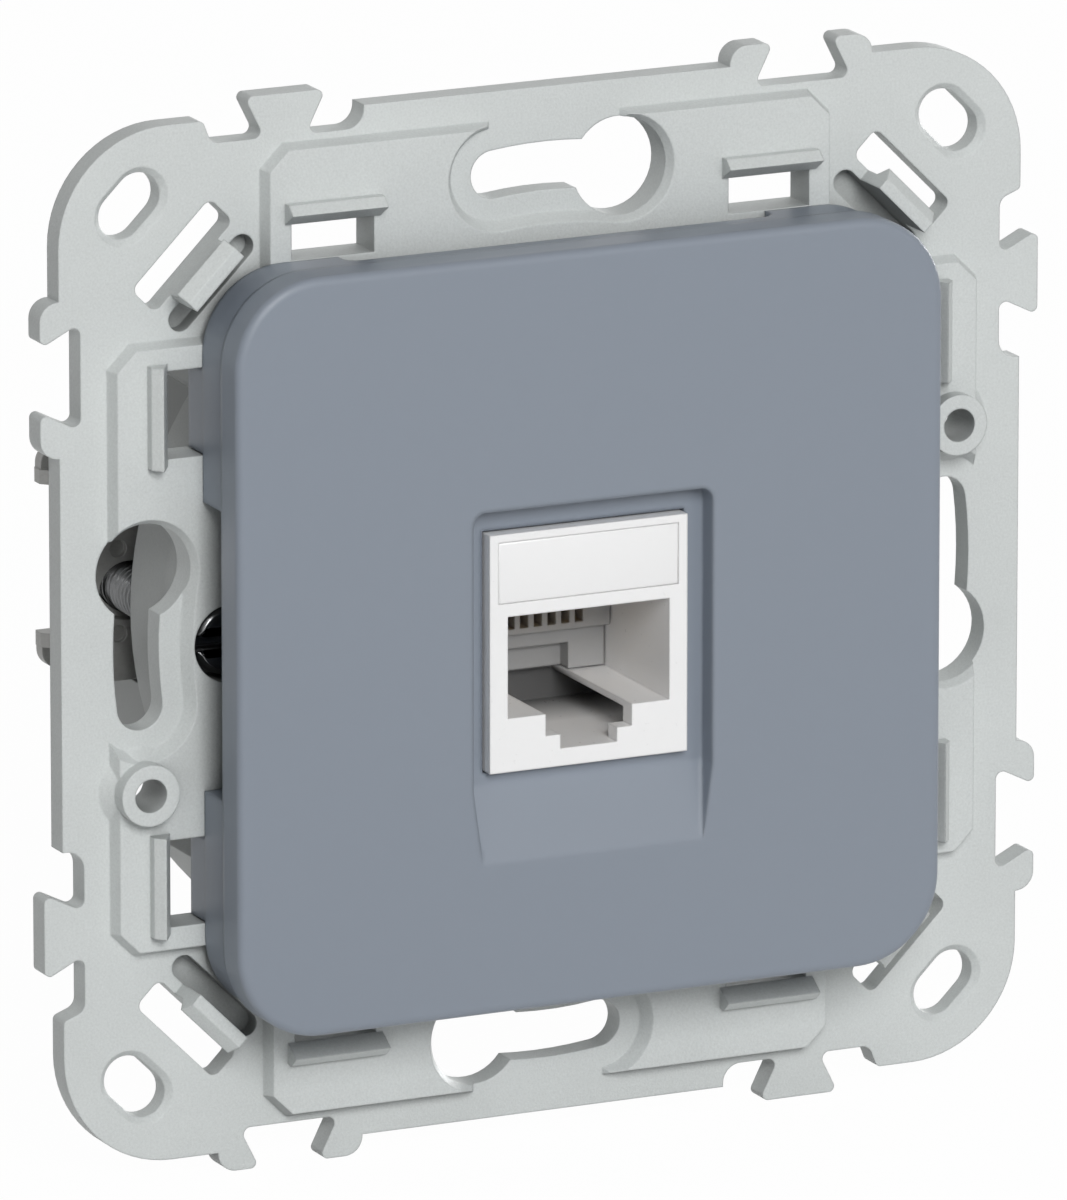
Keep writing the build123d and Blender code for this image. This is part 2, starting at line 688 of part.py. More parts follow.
def contact_carrier():
    """Block behind the plug with the comb, an arm above the plug and a recess over the latch."""
    face = PLUG_DEPTH - JACK_FRONT
    back = BOARD_DEPTH - CARRIER_PLAY
    top = PLUG_TOP + ARM_LIFT + ARM_THICK
    half = PLUG_HALF - CARRIER_PLAY
    arm_half = CHANNEL_HALF - CARRIER_PLAY
    foot = CARRIER_PLAY - PLUG_BOTTOM
    shoulder = PLUG_TOP - CARRIER_PLAY
    carrier = block(-half, half, face, back, foot, shoulder)
    carrier += block(-arm_half, arm_half, face, back, shoulder, top)
    carrier += block(-arm_half, arm_half, face - ARM_LENGTH, face, top - ARM_THICK, top)
    comb_foot = shoulder - COMB_HEIGHT
    carrier -= block(-half, half, face, face + COMB_LEDGE, foot, comb_foot - COMB_BAR)
    carrier -= block(-LATCH_HALF, LATCH_HALF, face, face + RECESS_DEPTH, foot, -RECESS_TOP)
    for place in contact_places():
        carrier -= block(
            place - COMB_SLOT / 2, place + COMB_SLOT / 2, face, face + COMB_DEPTH, comb_foot, shoulder
        )
    return carrier


def contact_row(index):
    """Height of the long run of this contact and the radius of its front bend."""
    row = index % len(ROW_HEIGHTS)
    return ROW_HEIGHTS[row], BEND_RADII[row]


def contact_wire(index):
    """Spring contact: back from the board, round the front bend and down to the comb."""
    height, radius = contact_row(index)
    slope = (ROW_HEIGHTS[0] + WIRE_END_DROP) / (BEND_FRONT + WIRE_END_DEPTH)
    bend = -BEND_FRONT - (height - ROW_HEIGHTS[0]) / slope
    across = contact_places()[index]
    path = FilletPolyline(
        (across, BOARD_BACK + TAIL_LENGTH, height),
        (across, bend, height),
        (across, WIRE_END_DEPTH, -WIRE_END_DROP),
        radius=radius,
    )
    section = Plane(origin=path @ 0, x_dir=(1, 0, 0), z_dir=path % 0) * Rectangle(WIRE, WIRE)
    return sweep(section, path=path)


# Circuit board and terminals


def chamber_outline(play):
    """Outline of the rear chamber, less this clearance."""
    return Circle(HOUSING_RADIUS - HOUSING_WALL - play) & Rectangle(
        2 * (CHAMBER_HALF_WIDTH - play), 2 * (CHAMBER_HALF_HEIGHT - play)
    )


def board_screw_places():
    across, up = FIX_AT
    return [(-across, up), (across, -up)]


def terminal_places():
    """Across and up of each terminal, the upper block first."""
    middle = (TERMINALS - 1) / 2
    return [
        ((index - middle) * TERMINAL_PITCH, row * BLOCK_AT)
        for row in (1, -1)
        for index in range(TERMINALS)
    ]


def circuit_board():
    outline = chamber_outline(BOARD_PLAY)
    for index, across in enumerate(contact_places()):
        outline -= Pos(across, contact_row(index)[0]) * Circle(TAIL_HOLE)
    for across, up in terminal_places():
        outline -= Pos(across, up) * Circle(PIN_HOLE)
    for across, up in board_screw_places():
        outline -= Pos(across, up) * Circle(BOARD_SCREW + FIX_PLAY)
    return slab(outline, BOARD_DEPTH, BOARD_BACK)


def terminal_block(row):
    """Block of insulation displacement terminals behind the board."""
    half = TERMINALS * TERMINAL_PITCH / 2 + BLOCK_END
    low = row * BLOCK_AT - BLOCK_HALF_HEIGHT
    high = row * BLOCK_AT + BLOCK_HALF_HEIGHT
    back = BOARD_BACK + BLOCK_DEPTH
    body = block(-half, half, BOARD_BACK, back, low, high)
    blade_half = BLADE_WIDTH / 2 + BLADE_PLAY
    thick = BLADE / 2 + BLADE_PLAY
    for across, up in terminal_places():
        if up == row * BLOCK_AT:
            body -= Pos(across, 0, up) * block(-blade_half, blade_half, BOARD_BACK, back, -thick, thick)
            slot = block(-CABLE_SLOT / 2, CABLE_SLOT / 2, back - CABLE_SLOT_DEPTH, back, low, high)
            body -= Pos(across, 0, 0) * slot
    return body


def idc_blade(across, up):
    """Forked blade that cuts into the wire, with its pin through the board."""
    back = BOARD_BACK + BLOCK_DEPTH - BLADE_SINK
    pin_front = BOARD_DEPTH - TAIL_LENGTH
    half = BLADE_WIDTH / 2
    slot = BLADE_MOUTH / 2
    outline = Polygon(
        (-PIN / 2, pin_front),
        (PIN / 2, pin_front),
        (PIN / 2, BOARD_BACK),
        (half, BOARD_BACK),
        (half, back),
        (BLADE_FLARE, back),
        (slot, back - BLADE_FLARE),
        (slot, back - BLADE_FORK),
        (-slot, back - BLADE_FORK),
        (-slot, back - BLADE_FLARE),
        (-BLADE_FLARE, back),
        (-half, back),
        (-half, BOARD_BACK),
        (-PIN / 2, BOARD_BACK),
        align=None,
    )
    return Pos(across, 0, up) * upright_prism(outline, -BLADE / 2, BLADE / 2)


# Rear housing


def rear_housing():
    """Housing inside the collar: a well for the jack, a seat for the board and an open chamber."""
    front = -STEP
    outline = collar_outline(HOUSING_RADIUS, HOUSING_HALF_HEIGHT)
    body = slab(outline, front, HOUSING_DEPTH)
    shoulder = PIVOT_DEPTH - PIVOT_RADIUS - PIVOT_PLAY
    for side in (-1, 1):
        for wall, start in ((PIVOT_AT, front), (NOTCH_WALL, shoulder)):
            ends = sorted((side * wall, side * HOUSING_RADIUS))
            body -= block(*ends, start, HOUSING_DEPTH, -NOTCH_HALF_HEIGHT, NOTCH_HALF_HEIGHT)
    well = Rectangle(2 * WELL_HALF_WIDTH, 2 * WELL_HALF_HEIGHT)
    body -= slab(well, front + FRONT_WALL, BOARD_DEPTH)
    body -= slab(chamber_outline(0), BOARD_DEPTH, HOUSING_DEPTH)
    body -= jack_way(JACK_CLEARANCE, front, front + FRONT_WALL)
    body -= block(
        -CABLE_EXIT / 2,
        CABLE_EXIT / 2,
        HOUSING_DEPTH - CABLE_EXIT_DEPTH,
        HOUSING_DEPTH,
        -HOUSING_HALF_HEIGHT,
        -CHAMBER_HALF_HEIGHT,
    )
    place = Pos(*FIX_AT)
    body -= halves(slab(place * Circle(FIX_RADIUS + FIX_PLAY), front, FIX_SEAT))
    body -= halves(slab(place * Circle(FIX_HEAD + FIX_HEAD_PLAY), FIX_SEAT, BOARD_DEPTH))
    for spot in board_screw_places():
        hole = Pos(*spot) * Circle(BOARD_SCREW + FIX_PLAY)
        body -= slab(hole, BOARD_DEPTH - BOARD_SCREW_GRIP - FIX_PLAY, BOARD_DEPTH)
    return body


def screw(place, radius, tip, seat, head, head_height):
    """Screw driven from behind: shank from its tip to its seat, and a slotted head behind it."""
    shank = slab(place * Circle(radius), tip, seat)
    top = slab(place * Circle(head), seat, seat + head_height)
    back = seat + head_height
    slot = slab(place * Rectangle(2 * head, DRIVE_SLOT), back - DRIVE_SLOT_DEPTH, back)
    return shank + top - slot


def housing_screws():
    return Compound(
        halves(screw(Pos(*FIX_AT), FIX_RADIUS, -FIX_TIP_FRONT, FIX_SEAT, FIX_HEAD, FIX_HEAD_HEIGHT))
    )


def board_screws():
    return Compound(
        [
            screw(
                Pos(*spot),
                BOARD_SCREW,
                BOARD_DEPTH - BOARD_SCREW_GRIP,
                BOARD_BACK,
                BOARD_SCREW_HEAD,
                BOARD_SCREW_HEAD_HEIGHT,
            )
            for spot in board_screw_places()
        ]
    )


# Claws, modelled on the left


def claw():
    """Sheet steel claw: a web with a long hole, a pivot edge and two toothed arms with ears."""
    front = PIVOT_DEPTH - PIVOT_RADIUS
    back = PIVOT_DEPTH + PIVOT_RADIUS
    web = block(-PIVOT_AT - WEB_REACH, -PIVOT_AT, front, back, -WEB_HALF_HEIGHT, WEB_HALF_HEIGHT)
    web += Pos(-PIVOT_AT, PIVOT_DEPTH, 0) * Cylinder(PIVOT_RADIUS, 2 * WEB_HALF_HEIGHT)
    slot_middle = -PIVOT_AT - (WEB_SLOT_FROM + WEB_SLOT_TO) / 2
    slot = Pos(slot_middle, 0) * SlotOverall(WEB_SLOT_TO - WEB_SLOT_FROM, WEB_SLOT_HEIGHT)
    web -= slab(slot, front, back)
    out, up = DIMPLE_AT
    for side in (-1, 1):
        dimple = Pos(-PIVOT_AT - out, side * up) * Circle(DIMPLE_RADIUS)
        web -= slab(dimple, front, front + DIMPLE_DEPTH)
    tip = front + ARM_SPAN
    root = -PIVOT_AT - ARM_INSET
    outside = -PIVOT_AT - WEB_REACH
    tooth = -PIVOT_AT - TOOTH_REACH
    neck = tooth + TOOTH_HEIGHT
    arm = rounded(
        [
            (root, front, 0),
            (outside, front, 0),
            (outside, front + ARM_SHOULDER, ARM_BEND / 2),
            (neck, front + 2 * ARM_SHOULDER, ARM_BEND),
            (neck, tip - 2 * TOOTH_HEIGHT, ARM_BEND / 2),
            (tooth, tip - TOOTH_HEIGHT, TOOTH_EDGE),
            (tooth, tip, TOOTH_EDGE),
            (tooth + TOOTH_WIDTH, tip, ARM_BEND / 2),
            (root - ARM_TAPER, front + ARM_ROOT + ARM_BEND, ARM_BEND),
            (root, front + ARM_ROOT, TOOTH_EDGE),
        ]
    )
    for low in (-WEB_HALF_HEIGHT, WEB_HALF_HEIGHT - ARM_SHEET):
        web += upright_prism(arm, low, low + ARM_SHEET)
    ear = rounded(
        [
            (tooth + EAR_INSET, 0, 0),
            (tooth + EAR_INSET, ARM_SHEET + EAR_HEIGHT, EAR_RADIUS),
            (tooth + EAR_INSET + EAR_WIDTH, ARM_SHEET + EAR_HEIGHT, TOOTH_EDGE),
            (tooth + EAR_INSET + EAR_WIDTH, 0, 0),
        ]
    )
    upper = slab(Pos(0, WEB_HALF_HEIGHT - ARM_SHEET) * ear, tip - ARM_SHEET, tip)
    return web + upper + mirror(upper, about=Plane.XY)


def claw_screw():
    place = Pos(-CLAW_SCREW_AT, 0)
    head_back = CLAW_HEAD_HEIGHT - CLAW_HEAD_FRONT
    head = slab(place * Circle(CLAW_HEAD), -CLAW_HEAD_FRONT, head_back)
    slot = slab(
        place * Rectangle(2 * CLAW_HEAD, CLAW_SLOT), -CLAW_HEAD_FRONT, CLAW_SLOT_DEPTH - CLAW_HEAD_FRONT
    )
    return head + slab(place * Circle(CLAW_SCREW), head_back, CLAW_SCREW_DEPTH) - slot


def claw_nut():
    """Bar nut with a rounded front, on which the web of the claw rocks."""
    middle = PIVOT_DEPTH + PIVOT_RADIUS + NUT_GAP + NUT_RADIUS
    half = WEB_HALF_HEIGHT - ARM_SHEET - GUIDE_PLAY
    outline = Circle(NUT_RADIUS) - Pos(0, NUT_RADIUS / 2 + NUT_BACK) * Rectangle(
        2 * NUT_RADIUS, NUT_RADIUS
    )
    bar = Pos(-CLAW_SCREW_AT, middle, 0) * upright_prism(outline, -half, half)
    bore = Pos(-CLAW_SCREW_AT, 0) * Circle(CLAW_SCREW + NUT_BORE_PLAY)
    return bar - slab(bore, middle - NUT_RADIUS, middle + NUT_BACK)


def nodes():
    """Every piece under the name of its node."""
    pieces = {
        "support_frame": support_frame(),
        "rear_housing": rear_housing(),
        "cover_plate": cover_plate(),
        "jack_housing": jack_housing(),
        "label_carrier": label_carrier(),
        "contact_carrier": contact_carrier(),
        "circuit_board": circuit_board(),
        "terminal_block_upper": terminal_block(1),
        "terminal_block_lower": terminal_block(-1),
        "housing_screws": housing_screws(),
        "board_screws": board_screws(),
    }
    for index in range(CONTACTS):
        pieces[f"contact_wire_{index + 1}"] = contact_wire(index)
    for index, (across, up) in enumerate(terminal_places()):
        pieces[f"idc_blade_{index + 1}"] = idc_blade(across, up)
    for name, piece in (("claw", claw()), ("claw_screw", claw_screw()), ("claw_nut", claw_nut())):
        left, right = halves(piece)
        pieces[f"{name}_left"] = left
        pieces[f"{name}_right"] = right
    return pieces


os.makedirs("parts", exist_ok=True)
for node, piece in nodes().items():
    export_step(piece, f"parts/{node}.step")
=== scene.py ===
"""Finishes for a flush-mounted modular socket insert: threads, solder, tracks, marks and materials."""

import json
import math

import bmesh
import bpy
from mathutils import Matrix, Vector


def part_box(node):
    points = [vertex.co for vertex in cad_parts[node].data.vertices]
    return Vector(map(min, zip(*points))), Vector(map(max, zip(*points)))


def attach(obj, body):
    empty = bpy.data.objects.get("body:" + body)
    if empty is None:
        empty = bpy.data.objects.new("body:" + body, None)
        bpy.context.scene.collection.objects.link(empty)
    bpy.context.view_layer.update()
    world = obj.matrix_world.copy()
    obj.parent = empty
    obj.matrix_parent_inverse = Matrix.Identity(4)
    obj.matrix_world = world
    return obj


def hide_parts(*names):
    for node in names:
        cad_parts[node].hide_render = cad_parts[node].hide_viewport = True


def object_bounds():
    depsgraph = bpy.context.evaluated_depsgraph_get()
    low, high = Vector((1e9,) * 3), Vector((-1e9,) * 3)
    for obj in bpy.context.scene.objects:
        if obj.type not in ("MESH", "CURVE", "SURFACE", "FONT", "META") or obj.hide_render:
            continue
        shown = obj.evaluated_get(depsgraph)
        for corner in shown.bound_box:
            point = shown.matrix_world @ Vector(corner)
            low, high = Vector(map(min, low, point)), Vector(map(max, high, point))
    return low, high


bl_info = {
    "name": "Socket insert finishes",
    "version": (1, 0, 0),
    "blender": (4, 5, 0),
    "location": "3D View > Sidebar > Socket",
    "description": "Dresses a flush-mounted modular socket insert on its packed frame",
    "category": "Object",
}

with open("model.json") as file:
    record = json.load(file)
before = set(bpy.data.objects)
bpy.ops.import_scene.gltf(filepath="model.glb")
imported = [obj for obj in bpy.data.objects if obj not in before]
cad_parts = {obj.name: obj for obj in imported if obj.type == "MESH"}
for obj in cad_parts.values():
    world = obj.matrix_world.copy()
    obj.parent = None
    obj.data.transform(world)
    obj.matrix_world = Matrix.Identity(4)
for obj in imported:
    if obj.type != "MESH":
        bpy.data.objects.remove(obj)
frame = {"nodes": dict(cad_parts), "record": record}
CAD_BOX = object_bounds()
BODIES = frame["record"]["behaviour"]["bodies"]
MM = 0.001


def span(node, axis):
    """Where a CAD node starts and ends along an axis, in millimetres."""
    low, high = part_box(node)
    return low[axis] / MM, high[axis] / MM


def middle(node, axis):
    """Middle of a CAD node along an axis, in millimetres."""
    return sum(span(node, axis)) / 2


# CAD nodes that keep their shape, each with its material slot
MOULDINGS = {
    "support_frame": "frame_plastic",
    "rear_housing": "housing_plastic",
    "cover_plate": "cover_plastic",
    "jack_housing": "jack_plastic",
    "contact_carrier": "carrier_plastic",
    "terminal_block_upper": "terminal_plastic",
    "terminal_block_lower": "terminal_plastic",
}
STEEL_PARTS = {
    "claw_left": "claw_steel",
    "claw_right": "claw_steel",
    "claw_nut_left": "claw_steel",
    "claw_nut_right": "claw_steel",
}
WIRES = [f"contact_wire_{n}" for n in range(1, 9)]
BLADES = [f"idc_blade_{n}" for n in range(1, 9)]
CONTACTS = {
    "circuit_board": "board_laminate",
    **{wire: "contact_gold" for wire in WIRES},
    **{blade: "blade_tin" for blade in BLADES},
}

# Threads, in millimetres: they start and end at these places along Y, and the taper is the length of the
# narrowed tip, negative where the tip is at the start
CLAW_THREAD = {"radius": 1.75, "pitch": 0.6, "depth": 0.37, "start": -0.45, "end": 20.5, "taper": 0.5}
HOUSING_THREAD = {"radius": 1.25, "pitch": 1.0, "depth": 0.35, "start": -5.2, "end": 5.05, "taper": -1.6}
BOARD_THREAD = {"radius": 1.0, "pitch": 0.8, "depth": 0.28, "start": 5.0, "end": 11.65, "taper": -1.4}

# Profile of one pitch of a thread as shares of depth and pitch, steps of one turn, and narrowing of the tip
THREAD_PROFILE = ((0.0, 0.0), (0.0, 0.14), (1.0, 0.44), (1.0, 0.56), (0.0, 0.86), (0.0, 1.0))
TURN_STEPS = 24
TIP_NARROWING = 0.45

# Screws, in millimetres: centres across and up, the thread, and where the plain shank is cut off
CLAW_SCREW_ACROSS = 23.5
SMALL_SCREW_ACROSS = 15.2
SMALL_SCREW_UP = 12.3
SCREWS = {
    "claw_screw_left": ([(-CLAW_SCREW_ACROSS, 0.0)], CLAW_THREAD, -0.35),
    "claw_screw_right": ([(CLAW_SCREW_ACROSS, 0.0)], CLAW_THREAD, -0.35),
    "housing_screws": (
        [(SMALL_SCREW_ACROSS, SMALL_SCREW_UP), (-SMALL_SCREW_ACROSS, -SMALL_SCREW_UP)],
        HOUSING_THREAD,
        4.95,
    ),
    "board_screws": (
        [(-SMALL_SCREW_ACROSS, SMALL_SCREW_UP), (SMALL_SCREW_ACROSS, -SMALL_SCREW_UP)],
        BOARD_THREAD,
        11.55,
    ),
}

# Faces of the circuit board and the terminal blocks, and half a contact tail's height, in millimetres
BOARD_FRONT, BOARD_BACK = span("circuit_board", 1)
BLOCK_BACK = span("terminal_block_upper", 1)[1]
TAIL_HALF = 0.2

# Solder joints, in millimetres: radius of the foot at the contact tails and terminal pins, and of the top
TAIL_SOLDER = 0.42
PIN_SOLDER = 0.75
SOLDER_TOP = 0.12

# Profile of a solder joint below its top, as shares of its foot's radius and its height
SOLDER_PROFILE = ((1.0, -0.05), (1.0, 0.03), (0.78, 0.2), (0.6, 0.55))

# Copper tracks, in millimetres: distance from the tail to the first bend, how much later the outer ones
# bend, rise of the slant for each millimetre across, and distance from their end to the row of pins
TRACK_BEND = 1.2
TRACK_STAGGER = 0.5
TRACK_SLANT = 0.8
TRACK_STOP = 3.4

# Height of the tracks, how deep they sit in the board, and how much lighter the lacquer looks on them
TRACK_HEIGHT = 0.05
TRACK_SUNK = 0.01
TRACK_LIGHTER = 1.9

# Marks for the wire pairs, in millimetres: side, thickness and rounding of the corners
MARK_SIDE = 0.9
MARK_THICKNESS = 0.03
MARK_CORNER = 0.2

# Place of a mark, in millimetres: across and up from the middle of its terminal, and out from the block
MARK_ACROSS = 1.25
MARK_UP = 2.45
MARK_OUT = 0.005

# Colours of the marks by wire pair, and of their stripes
MARK_COLOURS = {"blue": "2B4F9E", "orange": "D9772B", "green": "2F7D46", "brown": "6B4630"}
MARK_STRIPE = "E7E7E5"

# Painted shade in the deep room for the plug's latch, in millimetres: it greys inwards from front to back
# and below its top
LATCH_ROOM_PAINTED_SHADE = {"front": -2.0, "back": 3.6, "top": -5.85, "foot": -6.2, "painted_shade": 0.86}

# Painted shade on the collar behind the flange, where little light comes through: it greys inwards at every
# height
COLLAR_PAINTED_SHADE = {"front": 0.6, "back": 3.0, "painted_shade": 0.38}

# Painted shade in closed-in places: how near their walls are, in millimetres, and the openness at which the
# grey is gone
PAINTED_SHADE_REACH = 15.0
PAINTED_SHADE_OPEN = 0.48

# Soft clouds in the plastics: their number in a millimetre and their share of the tint
CLOUDS = 0.12
CLOUD_SHARE = 0.3

# How far the roughness goes up and down: a difference for plastics, and factors for metals
PLASTIC_GLOSS = 0.06
METAL_GLOSS = (0.7, 1.3)

# Scale of a wave texture whose lines lie 0.5 mm and 0.3 mm apart
WEAVE_LINES = 0.63
TURNING_LINES = 1.05

# How far the label carrier fills the play round it, in millimetres
LABEL_FILL = 0.075

# In metres: vertices closer than this are merged, and an edge this near a place is taken to lie there
MERGED = 0.0005 * MM
NEAR = 0.01 * MM

# Lamps: place and side in metres, and power in watts
LAMPS = {
    "key lamp": ((-0.25, -1.3, 0.74), 0.6, 15.4),
    "front lamp": ((0.4, -1.4, 0.4), 0.7, 1.8),
    "back lamp": ((1.2, 0.9, 0.2), 0.6, 15.0),
}

# World light, colour of the floor, and the share of the floor's look that is plain white
WORLD_LIGHT = 0.13
FLOOR_COLOUR = "EFEFEF"
FLOOR_WHITE = 0.98

# Camera, from its fit to the photograph: degrees, metres and millimetres of lens
CAMERA_AZIMUTH = -25.223
CAMERA_ELEVATION = 14.429
CAMERA_DISTANCE = 1.1104
CAMERA_TARGET = (-0.000031, 0.0, -0.000278)
CAMERA_LENS = 496.8


def linear(colour):
    """sRGB hex value as linear red, green and blue."""
    parts = [int(colour[at : at + 2], 16) / 255 for at in (0, 2, 4)]
    return [part / 12.92 if part <= 0.04045 else ((part + 0.055) / 1.055) ** 2.4 for part in parts]


class SocketSizes(bpy.types.PropertyGroup):
    """Sizes of the finishing work."""

    frame_edge: bpy.props.FloatProperty(
        name="Frame edges",
        description="Rounding of the edges of the support frame and the rear housing",
        default=0.2 * MM,
        min=0.0,
        precision=5,
        unit="LENGTH",
    )
    cover_edge: bpy.props.FloatProperty(
        name="Cover edges",
        description="Rounding of the edges of the cover",
        default=0.55 * MM,
        min=0.0,
        precision=5,
        unit="LENGTH",
    )
    jack_edge: bpy.props.FloatProperty(
        name="Jack edges",
        description="Rounding of the edges of the jack and its inner pieces",
        default=0.2 * MM,
        min=0.0,
        precision=5,
        unit="LENGTH",
    )
    metal_edge: bpy.props.FloatProperty(
        name="Metal edges",
        description="Rounding of the edges of claws, nuts and screws",
        default=0.1 * MM,
        min=0.0,
        precision=5,
        unit="LENGTH",
    )
    head_round: bpy.props.FloatProperty(
        name="Screw head rounding",
        description="Rounding of the front rim of the claw screws' heads",
        default=0.7 * MM,
        min=0.0,
        precision=5,
        unit="LENGTH",
    )
    wire_edge: bpy.props.FloatProperty(
        name="Contact edges",
        description="Rounding of the edges of the contact wires, terminal blades and solder",
        default=0.04 * MM,
        min=0.0,
        precision=5,
        unit="LENGTH",
    )
    solder_height: bpy.props.FloatProperty(
        name="Solder height",
        description="Height of the solder joints over the board",
        default=0.75 * MM,
        min=0.0,
        precision=5,
        unit="LENGTH",
    )
    track_width: bpy.props.FloatProperty(
        name="Track width",
        description="Width of the copper tracks under the solder resist",
        default=0.4 * MM,
        min=0.0,
        precision=5,
        unit="LENGTH",
    )
    floor_size: bpy.props.FloatProperty(
        name="Floor",
        description="Side of the floor under the object",
        default=12.0,
        min=1.0,
        unit="LENGTH",
    )


class SocketColours(bpy.types.PropertyGroup):
    """Base colours of the materials."""

    frame: bpy.props.FloatVectorProperty(
        name="Support frame",
        description="Pale grey of the support frame",
        subtype="COLOR",
        default=linear("CBCFCE"),
    )
    housing: bpy.props.FloatVectorProperty(
        name="Rear housing",
        description="Grey of the housing behind the frame",
        subtype="COLOR",
        default=linear("8E9190"),
    )
    cover: bpy.props.FloatVectorProperty(
        name="Cover",
        description="Blue grey of the cover",
        subtype="COLOR",
        default=linear("828A95"),
    )
    jack: bpy.props.FloatVectorProperty(
        name="Jack",
        description="White of the jack and its label carrier",
        subtype="COLOR",
        default=linear("F0F0F0"),
    )
    carrier: bpy.props.FloatVectorProperty(
        name="Contact carrier",
        description="Grey of the contact carrier and the terminal blocks",
        subtype="COLOR",
        default=linear("A8A8A8"),
    )
    resist: bpy.props.FloatVectorProperty(
        name="Solder resist",
        description="Green of the circuit board",
        subtype="COLOR",
        default=linear("1F5B3A"),
    )
    gold: bpy.props.FloatVectorProperty(
        name="Contacts",
        description="Gold of the contact wires",
        subtype="COLOR",
        default=linear("E2B45C"),
    )
    tin: bpy.props.FloatVectorProperty(
        name="Terminal blades",
        description="Tin of the terminal blades",
        subtype="COLOR",
        default=linear("C9C8C4"),
    )
    claw_screw: bpy.props.FloatVectorProperty(
        name="Claw screws",
        description="Oiled steel of the claw screws",
        subtype="COLOR",
        default=linear("7C7D7E"),
    )
    small_screw: bpy.props.FloatVectorProperty(
        name="Small screws",
        description="Steel of the housing and board screws",
        subtype="COLOR",
        default=linear("8C8D8E"),
    )
    claw_steel: bpy.props.FloatVectorProperty(
        name="Claws",
        description="Sheet steel of the claws and their nuts",
        subtype="COLOR",
        default=linear("A2A2A0"),
    )
    solder: bpy.props.FloatVectorProperty(
        name="Solder",
        description="Tin solder of the joints",
        subtype="COLOR",
        default=linear("C4C5C6"),
    )


# Materials


def add_node(tree, kind, inputs=None, **settings):
    """Adds a node with these settings; an input is given a value or the socket that feeds it."""
    made = tree.nodes.new(kind)
    for name, value in settings.items():
        setattr(made, name, value)
    for name, value in (inputs or {}).items():
        if isinstance(value, bpy.types.NodeSocket):
            tree.links.new(value, made.inputs[name])
        else:
            made.inputs[name].default_value = value
    return made


def seen_directly(tree):
    """One where the camera, a reflection or something clear meets the surface."""
    path = add_node(tree, "ShaderNodeLightPath")
    first = add_node(
        tree,
        "ShaderNodeMath",
        {0: path.outputs["Is Camera Ray"], 1: path.outputs["Is Glossy Ray"]},
        operation="MAXIMUM",
    )
    either = add_node(
        tree,
        "ShaderNodeMath",
        {0: first.outputs["Value"], 1: path.outputs["Is Transmission Ray"]},
        operation="MAXIMUM",
    )
    return either.outputs["Value"]


def new_material(name):
    """New material without nodes, and its node tree."""
    material = bpy.data.materials.new(name)
    material.use_nodes = True
    material.node_tree.nodes.clear()
    return material, material.node_tree


def place_of(tree, stretch=(1.0, 1.0, 1.0)):
    """Object coordinates in millimetres, stretched along the axes."""
    coordinates = add_node(tree, "ShaderNodeTexCoord")
    scale = [factor / MM for factor in stretch]
    mapping = add_node(
        tree, "ShaderNodeMapping", {"Vector": coordinates.outputs["Object"], "Scale": scale}
    )
    return mapping.outputs["Vector"]


def shades(tree, factor, colour, spread):
    """Colour that goes a little darker and lighter with the factor."""
    low = [channel * (1 - spread) for channel in colour] + [1.0]
    high = [min(1.0, channel * (1 + spread)) for channel in colour] + [1.0]
    mix = add_node(tree, "ShaderNodeMix", {0: factor, 6: low, 7: high}, data_type="RGBA")
    return mix.outputs[2]


def painted_recess_shade(tree, colour, painted_shade):
    """Colour with painted shade that greys, by up to this share, where walls close a place in."""
    closed = add_node(tree, "ShaderNodeAmbientOcclusion", {"Distance": PAINTED_SHADE_REACH * MM}, samples=10)
    share = add_node(
        tree,
        "ShaderNodeMapRange",
        {
            "Value": closed.outputs["AO"],
            "From Max": PAINTED_SHADE_OPEN,
            "To Min": 1 - painted_shade,
            "To Max": 1.0,
        },
    )
    greyed = add_node(
        tree,
        "ShaderNodeVectorMath",
        {0: colour, "Scale": share.outputs["Result"]},
        operation="SCALE",
    )
    return greyed.outputs["Vector"]


def painted_inward_shade(tree, colour, front, back, painted_shade, top=None, foot=None):
    """Colour with painted shade that greys by up to this share, from front to back and, if a top is given,
    below it, in mm.
    """
    place = add_node(tree, "ShaderNodeSeparateXYZ", {"Vector": place_of(tree)})
    inward = add_node(
        tree,
        "ShaderNodeMapRange",
        {"Value": place.outputs["Y"], "From Min": front, "From Max": back},
    )
    depth = inward.outputs["Result"]
    if top is not None:
        below = add_node(
            tree,
            "ShaderNodeMapRange",
            {"Value": place.outputs["Z"], "From Min": top, "From Max": foot},
        )
        both = add_node(
            tree,
            "ShaderNodeMath",
            {0: depth, 1: below.outputs["Result"]},
            operation="MULTIPLY",
        )
        depth = both.outputs["Value"]
    share = add_node(
        tree, "ShaderNodeMapRange", {"Value": depth, "To Min": 1.0, "To Max": 1 - painted_shade}
    )
    greyed = add_node(
        tree,
        "ShaderNodeVectorMath",
        {0: colour, "Scale": share.outputs["Result"]},
        operation="SCALE",
    )
    return greyed.outputs["Vector"]


def grained_skin(tree, tint, gloss, roughness, relief, depth, edge, **settings):
    """Gives a material its surface: gloss and relief follow two patterns, and edges look rounded.

    The roughness goes from its first to its second value, and the depth of the relief is in millimetres.
    """
    rough = add_node(
        tree,
        "ShaderNodeMapRange",
        {"Value": gloss, "To Min": roughness[0], "To Max": roughness[1]},
    )
    rounded = add_node(tree, "ShaderNodeBevel", {"Radius": edge}, samples=6)
    bump = add_node(
        tree,
        "ShaderNodeBump",
        {
            "Height": relief,
            "Distance": depth * MM,
            "Strength": 1.0,
            "Normal": rounded.outputs["Normal"],
        },
    )
    shader = add_node(
        tree,
        "ShaderNodeBsdfPrincipled",
        {
            "Base Color": tint,
            "Roughness": rough.outputs["Result"],
            "Normal": bump.outputs["Normal"],
            **settings,
        },
    )
    add_node(tree, "ShaderNodeOutputMaterial", {"Surface": shader.outputs["BSDF"]})


